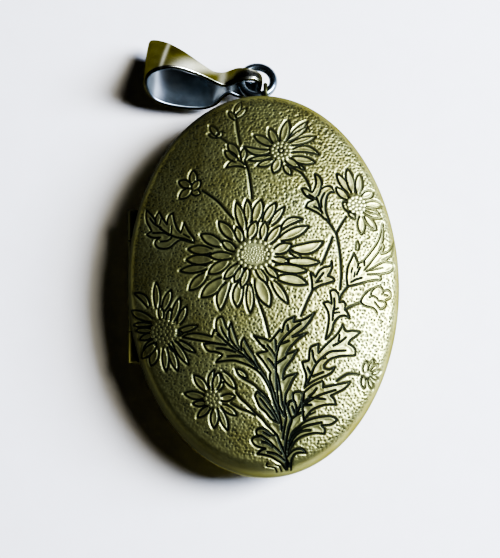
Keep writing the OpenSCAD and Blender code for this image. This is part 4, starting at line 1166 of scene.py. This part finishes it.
def shellRings(domed):
    a, b, wall, band = leaf["halfLength"], leaf["halfWidth"], leaf["wall"], leaf["band"]
    bevel = shell["bevel"]
    rows = []      # half length, half width, height over the parting plane
    if domed:
        for k in np.linspace(0, len(outer["s"]) - 1, shell["domeRings"]).astype(int):
            long = max(outer["r"][k], 0.001)
            rows.append((long, long * stretch, outer["z"][k]))
    else:
        rows.append((a, b, band))
    for gap, z in ((0, band / 2), (0, shell["outerBevel"]), (bevel, 0), (wall - bevel, 0), (wall, bevel),
                   (wall, band)):
        rows.append((a - gap, b - gap, z))
    for k in np.linspace(len(inner["s"]) - 1, 0, shell["hollowRings"]).astype(int):
        long = max(inner["r"][k], 0.001)
        rows.append((long, (b - wall) * long / (a - wall), inner["z"][k]))
    turn = fullTurn(leaf["segments"])
    return [np.column_stack([wide * np.cos(turn), long * np.sin(turn), np.full(len(turn), z)])
            for long, wide, z in rows]


barrel = {
    "length": 18.0,
    "radius": 0.75,
    "bore": 0.45,
    "bevel": 0.05,
    "segments": 40,
    "sharp": math.radians(35),     # edges bent more than this stay sharp
    "knuckles": 5,
    "gap": 0.12,
    "clear": 1.15,
    "clearEnds": 0.5,
    "strapThick": 0.32,
    "strapInset": 0.15,
    "endStrap": 1.25,          # how far in from the pin a strap reaches
    "midStrap": 0.75,
}


def clearHinge(points):
    # the edge gives way to the barrel
    clear = barrel["clear"]
    away = points[:, 0] - hingeX
    near = (np.abs(points[:, 1]) < (barrel["length"] + barrel["clearEnds"]) / 2) & (np.abs(away) < clear)
    lift = np.sqrt(np.clip(clear ** 2 - away ** 2, 0, None)) - leaf["seam"] / 2
    points[:, 2] = np.where(near, np.maximum(points[:, 2], lift), points[:, 2])
    return points


def makeShell(name, up, domed, body, material):
    rings = shellRings(domed)
    points = clearHinge(np.concatenate(rings))
    faces = ringFaces(len(rings), leaf["segments"])
    points[:, 2] = partZ + up * (points[:, 2] + leaf["seam"] / 2)
    if up > 0:
        faces = [face[::-1] for face in faces]
    return makeMesh(name, points, faces, material, body)


coverEdge = makeShell("coverEdge", 1, False, "cover_leaf", edgeBrass)
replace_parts(coverEdge, "cover")
caseShell = makeShell("caseShell", -1, True, "case", plainBrass)
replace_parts(caseShell, "case_back")


# snap rim

snap = {"play": 0.15, "thick": 0.4, "high": 0.7, "sideBevel": 0.06, "topBevel": 0.08, "hingeGap": 1.2}


def snapRim():
    turn = np.linspace(0, 2 * math.pi, leaf["segments"] + 1)
    a, b = leaf["halfLength"], leaf["halfWidth"]
    atHinge = (np.abs(a * np.sin(turn)) < barrel["length"] / 2 + snap["hingeGap"]) & (np.cos(turn) < 0)
    turn = turn[~atHinge]
    turn = np.roll(turn, -int(np.argmax(np.diff(turn))) - 1)
    outside = leaf["wall"] + snap["play"]
    inside = outside + snap["thick"]
    side, top, shoulder = snap["sideBevel"], snap["high"], snap["high"] - snap["topBevel"]
    rows = [(outside, -top), (outside, shoulder), (outside + side, top), (inside - side, top),
            (inside, shoulder), (inside, -top)]
    points = np.concatenate([
        np.column_stack([(b - gap) * np.cos(turn), (a - gap) * np.sin(turn), np.full(len(turn), partZ + z)])
        for gap, z in rows])
    count = len(turn)
    firstEnd = [row * count for row in range(len(rows))]
    faces = ringFaces(len(rows), count, closed=False)
    faces += [firstEnd, [spot + count - 1 for spot in firstEnd][::-1]]
    return makeMesh("snapRim", points, faces, plainBrass, "case")


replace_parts(snapRim(), "case_back")


# barrel

def knuckle(points, faces, low, high):
    turn = fullTurn(barrel["segments"])
    r, bore, bevel = barrel["radius"], barrel["bore"], barrel["bevel"]
    rows = [(bore, low), (r - bevel, low), (r, low + bevel), (r, high - bevel), (r - bevel, high),
            (bore, high), (bore, low)]
    faces += ringFaces(len(rows), len(turn), len(points))
    for radius, y in rows:
        x, z = hingeX + radius * np.cos(turn), partZ + radius * np.sin(turn)
        points += np.column_stack([x, np.full(len(turn), y), z]).tolist()


def strap(points, faces, low, high, up, reach):
    # a bent tab from the barrel down the inside of the wall: in from the pin, and up
    back = reach - barrel["strapThick"]
    profile = [(-0.1, 0.45), (0.62, 0.42), (reach, 0.35), (reach, 1.7), (back, 1.7), (back, 1.0), (0.2, 0.74),
               (-0.1, 0.75)]
    start, count = len(points), len(profile)
    for y in (low, high):
        points += [[hingeX + x, y, partZ + up * z] for x, z in profile]
    faces += ringFaces(2, count, start)
    faces.append([start + k for k in range(count)][::-1])
    faces.append([start + count + k for k in range(count)])


def makeBarrel(name, first, up, body):
    points, faces, straps, strapFaces = [], [], [], []
    last, gap, inset = barrel["knuckles"] - 1, barrel["gap"], barrel["strapInset"]
    length = barrel["length"] / barrel["knuckles"]
    for k in range(first, last + 1, 2):
        atEnd = k in (0, last)
        low = -barrel["length"] / 2 + k * length + (gap / 2 if k else 0)
        high = low + length - (gap / 2 if atEnd else gap)
        knuckle(points, faces, low, high)
        strap(straps, strapFaces, low + inset, high - inset, up, barrel["endStrap" if atEnd else "midStrap"])
    tabs = makeMesh(name + "Tabs", straps, strapFaces, darkBrass, body)
    piece = makeMesh(name, points, faces, barrelBrass, body)
    for part in (piece, tabs):
        part.data.set_sharp_from_angle(angle=barrel["sharp"])
    return piece, tabs


for piece in makeBarrel("barrelOfCase", 0, -1, "case"):
    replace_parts(piece, "case_back")
for piece in makeBarrel("barrelOfCover", 1, 1, "cover_leaf"):
    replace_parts(piece, "cover")
print("leaves and hinge made")


# soldered loop and jump ring

# tilt: the ring's own axes as columns; squash: how thick the wire is for its width
def torus(name, middle, tilt, major, minor, squash, around, tube, material):
    u, v = np.meshgrid(fullTurn(around), fullTurn(tube), indexing="ij")
    reach = major + minor * np.cos(v)
    flatRing = np.stack([reach * np.cos(u), reach * np.sin(u), minor * squash * np.sin(v)], -1)
    points = flatRing.reshape(-1, 3) @ np.array(tilt).T + np.array(middle)
    faces = []
    for i in range(around):
        for j in range(tube):
            n, m = (i + 1) % around, (j + 1) % tube
            faces.append([i * tube + j, n * tube + j, n * tube + m, i * tube + m])
    return makeMesh(name, points, faces, material, "case")


loop = {
    "x": 0.75,
    "y": leaf["halfLength"] + 1.29,
    "z": partZ - 1.85,
    "hole": 0.875,
    "wall": 0.35,
    "thick": 0.5,
    "tilt": [[0, 0, 1], [1, 0, 0], [0, 1, 0]],      # it stands on edge
    "neck": (0.4, 0.7),       # thickness and height of the foot that carries it
    "neckSides": 24,
    "neckSquare": 0.6,        # 1 would make its section an ellipse
}
solderedLoop = torus("solderedLoop", (loop["x"], loop["y"], loop["z"]), loop["tilt"],
                     loop["hole"] + loop["wall"] / 2, loop["wall"] / 2, loop["thick"] / loop["wall"], 64, 20,
                     darkBrass)
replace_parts(solderedLoop, "case_back")


def makeNeck():
    count = loop["neckSides"]
    circle = np.column_stack([np.cos(fullTurn(count)), np.sin(fullTurn(count))])
    section = np.array(loop["neck"]) / 2 * np.sign(circle) * np.abs(circle) ** loop["neckSquare"]
    across, up = section.T
    a = leaf["halfLength"]
    # place along, and how much thicker it is there
    rows = [(a - 0.55, 1.35), (a - 0.1, 1.2), (a + 0.15, 1.0), (loop["y"] - loop["hole"] - 0.1, 1.0)]
    points = np.concatenate([
        np.column_stack([loop["x"] + across * grow, np.full(count, y), loop["z"] + up * grow])
        for y, grow in rows])
    faces = ringFaces(len(rows), count)
    faces += [list(range(count)), list(range(len(points) - count, len(points)))[::-1]]
    return makeMesh("loopNeck", points, faces, darkBrass, "case")


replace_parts(makeNeck(), "case_back")

ring = {"wire": 1.0, "across": ringHigh[0] - ringLow[0], "droop": math.radians(12)}
ring["middle"] = (ringLow + ringHigh) / 2
ring["reach"] = (ring["across"] - ring["wire"]) / 2
ringTilt = [[1, 0, 0], [0, math.cos(ring["droop"]), math.sin(ring["droop"])],
            [0, -math.sin(ring["droop"]), math.cos(ring["droop"])]]
jumpRing = torus("jumpRing", ring["middle"], ringTilt, ring["reach"], ring["wire"] / 2, 1.0, 144, 40,
                 ringSteel)
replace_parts(jumpRing, "jump_ring")


# bail

bail = {
    "strip": 0.5,
    "wide": 7.2,
    "narrow": 1.0,
    "length": 14.0,
    "eyeEnd": 2.6,
    "rise": 0.35,             # of the eye over the middle of the ring's wire
    "turn": math.radians(4.8),
    "droop": math.radians(5),
    "lean": math.radians(36),
    "round": 0.16,            # rounded edges of the strip
    "crown": 0.10,            # how far the strip's middle stands out
    # painted highlights, bright bands of mirrored light: place along the bail on its far and near edge,
    # reach, strength
    "highlightBands": [(4.3, 6.1, 1.3, 1.0), (8.9, 9.0, 0.22, 0.3), (-1.4, -1.4, 0.45, 0.8), (2.2, 2.2, 0.5, 0.25)],
    # painted highlights inside, bright spots: place along, height, reach, strength
    "spots": [(10.3, 2.4, 0.4, 0.7), (10.2, -0.9, 0.7, 0.9), (9.6, -1.5, 0.5, 0.5)],
    "cuts": 10,
}
# the strip's outer face at its near and far edge: along the bail, and up
nearEdge = [
    (-2.55, -0.3), (-2.4, 0.35), (-1.7, 0.95), (-0.7, 1.05), (0.4, 0.9), (1.2, 0.6), (1.75, 0.5),
    (2.5, 0.85), (3.95, 1.95), (5.0, 2.65), (5.8, 3.1), (6.7, 3.55), (7.7, 3.85), (8.5, 3.9), (9.3, 3.8),
    (10.3, 3.4), (10.9, 2.75), (11.2, 1.75), (11.1, 0.75), (10.75, -0.2), (10.15, -1.05), (8.8, -1.95),
    (7.0, -2.6), (5.35, -2.95), (4.1, -3.0), (3.0, -2.65), (2.1, -1.8), (1.3, -1.2), (0.6, -1.6),
    (-0.5, -2.0), (-1.7, -1.9), (-2.4, -1.15)]
farEdge = [
    (-2.55, 0.1), (-2.4, 0.75), (-1.7, 1.2), (-0.6, 1.3), (0.5, 1.1), (1.3, 0.65), (2.3, 0.1), (3.4, 0.0),
    (4.3, 0.45), (5.2, 1.0), (6.2, 1.7), (7.25, 2.35), (8.1, 2.75), (9.0, 3.1), (9.9, 3.25), (10.7, 3.25),
    (11.3, 3.05), (11.65, 2.4), (11.65, 1.4), (11.3, 0.4), (10.6, -0.4), (9.2, -0.8), (7.6, -1.2),
    (6.1, -1.5), (4.8, -1.75), (3.6, -1.7), (2.4, -1.35), (1.5, -1.1), (0.7, -1.15), (-0.4, -1.15),
    (-1.6, -1.05), (-2.35, -0.55)]


def smoothLoop(points):
    a, b, c, d = (np.roll(np.array(points, float), -k, 0)[:, None] for k in (-1, 0, 1, 2))
    t = np.arange(bail["cuts"])[:, None] / bail["cuts"]
    return curvePoint(a, b, c, d, t).reshape(-1, 2)


def bailAxes():
    along = np.array([-math.cos(bail["turn"]) * math.cos(bail["droop"]),
                      math.sin(bail["turn"]) * math.cos(bail["droop"]), -math.sin(bail["droop"])])
    leaning = np.array([0, math.cos(bail["lean"]), -math.sin(bail["lean"])])
    across = unit(leaning - along * (leaning @ along))
    return along, np.cross(across, along), across


def setIn(outline, depth):
    direction = unit(np.roll(outline, -1, 0) - np.roll(outline, 1, 0))
    return outline + np.column_stack([direction[:, 1], -direction[:, 0]]) * depth


def stripWidth(outline):
    widening = bail["wide"] - bail["narrow"]
    return bail["narrow"] + widening * (outline[:, 0] + bail["eyeEnd"]) / bail["length"]


# the strip's section as share across, trim from the edge, depth under the outer face
def stripSection():
    r, thick, crown = bail["round"], bail["strip"], bail["crown"]
    turns = np.radians([0, 22, 45, 68, 90])
    face = np.linspace(-1, 1, 13)
    section = [(share, r if abs(share) == 1 else 0, crown * (share ** 2 - 1)) for share in face]
    section += [(1, r - r * math.sin(t), r - r * math.cos(t)) for t in turns[1:]]
    section += [(1, r - r * math.cos(t), thick - r + r * math.sin(t)) for t in turns[:-1]]
    section += [(share, r if abs(share) == 1 else 0, thick + crown * (share ** 2 - 1))
                for share in face[::-1]]
    section += [(-1, r - r * math.sin(t), thick - r + r * math.cos(t)) for t in turns[1:]]
    section += [(-1, r - r * math.cos(t), r - r * math.sin(t)) for t in turns[:-1]]
    return section


# painted highlights on the bail: bright bands along its outer face and bright spots inside
def bailHighlights(line, share, underneath):
    if underneath:
        return sum(strength * np.exp(-(((line - (spot, high)) / reach) ** 2).sum(1))
                   for spot, high, reach, strength in bail["spots"])
    paintedLight = np.zeros(len(line))
    for farSpot, nearSpot, reach, strength in bail["highlightBands"]:
        spot = nearSpot * (1 - share) / 2 + farSpot * (1 + share) / 2
        paintedLight += strength * np.exp(-((line[:, 0] - spot) / reach) ** 2) * (line[:, 1] > 0)
    return paintedLight


def makeBail():
    along, up, across = bailAxes()
    middle = ring["middle"] + np.array([-ring["reach"], 0, bail["rise"]])
    near, far = smoothLoop(nearEdge), smoothLoop(farEdge)
    section = stripSection()
    underneath = [depth > bail["strip"] / 2 for share, trim, depth in section]
    loops, highlightRows = [], []
    for (share, trim, depth), under in zip(section, underneath):
        line = setIn(near, depth) * (1 - share) / 2 + setIn(far, depth) * (1 + share) / 2
        half = (stripWidth(near) * (1 - share) + stripWidth(far) * (1 + share)) / 4
        side = half * share - np.sign(share) * trim
        loops.append(middle + np.outer(line[:, 0], along) + np.outer(line[:, 1], up) + np.outer(side, across))
        highlightRows.append(bailHighlights(line, share, under))
    count = len(near)
    total = len(loops) * count
    faces = [[spot % total for spot in face] for face in ringFaces(len(loops) + 1, count)]
    piece = makeMesh("bailStrip", np.concatenate(loops), faces, bailBrass, "case")
    piece.data.materials.append(bailInside)
    storeValues(piece, "wearAndHighlight", np.concatenate(highlightRows))
    rowOfFace = np.arange(len(faces)) // count
    first, last = np.flatnonzero(underneath)[[0, -1]]
    inside = (rowOfFace >= first) & (rowOfFace < last)
    piece.data.polygons.foreach_set("material_index", inside.astype(np.int32))
    return piece


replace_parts(makeBail(), "bail")
frame["nodes"]["hinge_pin"].data.materials.clear()
frame["nodes"]["hinge_pin"].data.materials.append(plainBrass)
print("ring and bail made")


# floor, light and camera, in metres

floorReach = 0.6
studio = {
    "key": {"spot": (0.245, 0.045, 0.335), "size": (0.12, 0.18), "power": 1.75, "colour": (0.99, 1, 0.96)},
    "low": {"spot": (0.31, 0.03, 0.265), "size": (0.16, 0.24), "power": 4.9, "colour": (0.79, 0.94, 1.35)},
    "fill": {"spot": (-0.12, 0.28, 0.36), "size": (0.25, 0.2), "power": 0.006, "colour": (0.92, 0.96, 1)},
}
lampAim = (0, 0, 0.005)
airGlow = (0.006, 0.006, 0.006, 1)


def areaLight(name, spot, size, power, colour):
    light = bpy.data.lights.new(name, "AREA")
    light.shape = "RECTANGLE"
    light.size, light.size_y = size
    light.energy = power
    light.color = colour
    lamp = bpy.data.objects.new(name, light)
    bpy.context.scene.collection.objects.link(lamp)
    lamp.location = spot
    lamp.rotation_euler = (Vector(lampAim) - Vector(spot)).to_track_quat("-Z", "Y").to_euler()


def makeFloor():
    shader = Shader("paleFloor")
    grain = shader.noise(300, 4)
    shader.set(Base_Color=shader.mix(grain, rgb(0.80, 0.74, 0.65), rgb(0.86, 0.80, 0.71)), Roughness=0.9)
    mesh = bpy.data.meshes.new("floor")
    corners = [(x * floorReach, y * floorReach, 0) for x, y in ((-1, -1), (1, -1), (1, 1), (-1, 1))]
    mesh.from_pydata(corners, [], [(0, 1, 2, 3)])
    mesh.materials.append(shader.material)
    floor = bpy.data.objects.new("floor", mesh)
    bpy.context.scene.collection.objects.link(floor)


makeFloor()
for name, lamp in studio.items():
    areaLight(name, **lamp)
world = bpy.data.worlds.new("studioAir")
world.use_nodes = True
world.node_tree.nodes["Background"].inputs["Color"].default_value = airGlow
world.node_tree.nodes["Background"].inputs["Strength"].default_value = 1.0
bpy.context.scene.world = world

# the photo's eye: nearly straight above, a little from the lower end
eye = {
    "elevation": math.radians(79),
    "distance": 190.0,
    "roll": math.radians(1.2),
    "pixelsPerMm": 8.573,
    "frameHigh": 558,
    "anchor": (263.3, 283.9),      # where the middle of the parting plane falls in the 500 x 558 frame
    "frameMiddle": (250.0, 279.0),
    "sensor": 36,
}
cameraData = bpy.data.cameras.new("photoEye")
camera = bpy.data.objects.new("photoEye", cameraData)
bpy.context.scene.collection.objects.link(camera)
bpy.context.scene.camera = camera
cameraData.sensor_fit = "AUTO"
cameraData.sensor_width = eye["sensor"]
cameraData.lens = eye["sensor"] * eye["pixelsPerMm"] * eye["distance"] / eye["frameHigh"]
cameraData.shift_x = (eye["frameMiddle"][0] - eye["anchor"][0]) / eye["frameHigh"]
cameraData.shift_y = (eye["anchor"][1] - eye["frameMiddle"][1]) / eye["frameHigh"]
cameraData.clip_start = 0.01
target = Vector((0, 0, partZ * mm))
back = Vector((0, -math.cos(eye["elevation"]), math.sin(eye["elevation"])))
camera.location = target + back * eye["distance"] * mm
look = (-back).to_track_quat("-Z", "Y").to_matrix()
camera.rotation_euler = (look @ Matrix.Rotation(-eye["roll"], 3, "Z")).to_euler()
bpy.context.scene.view_settings.view_transform = "AgX"
bpy.context.scene.view_settings.look = "AgX - High Contrast"

print("scene ready")
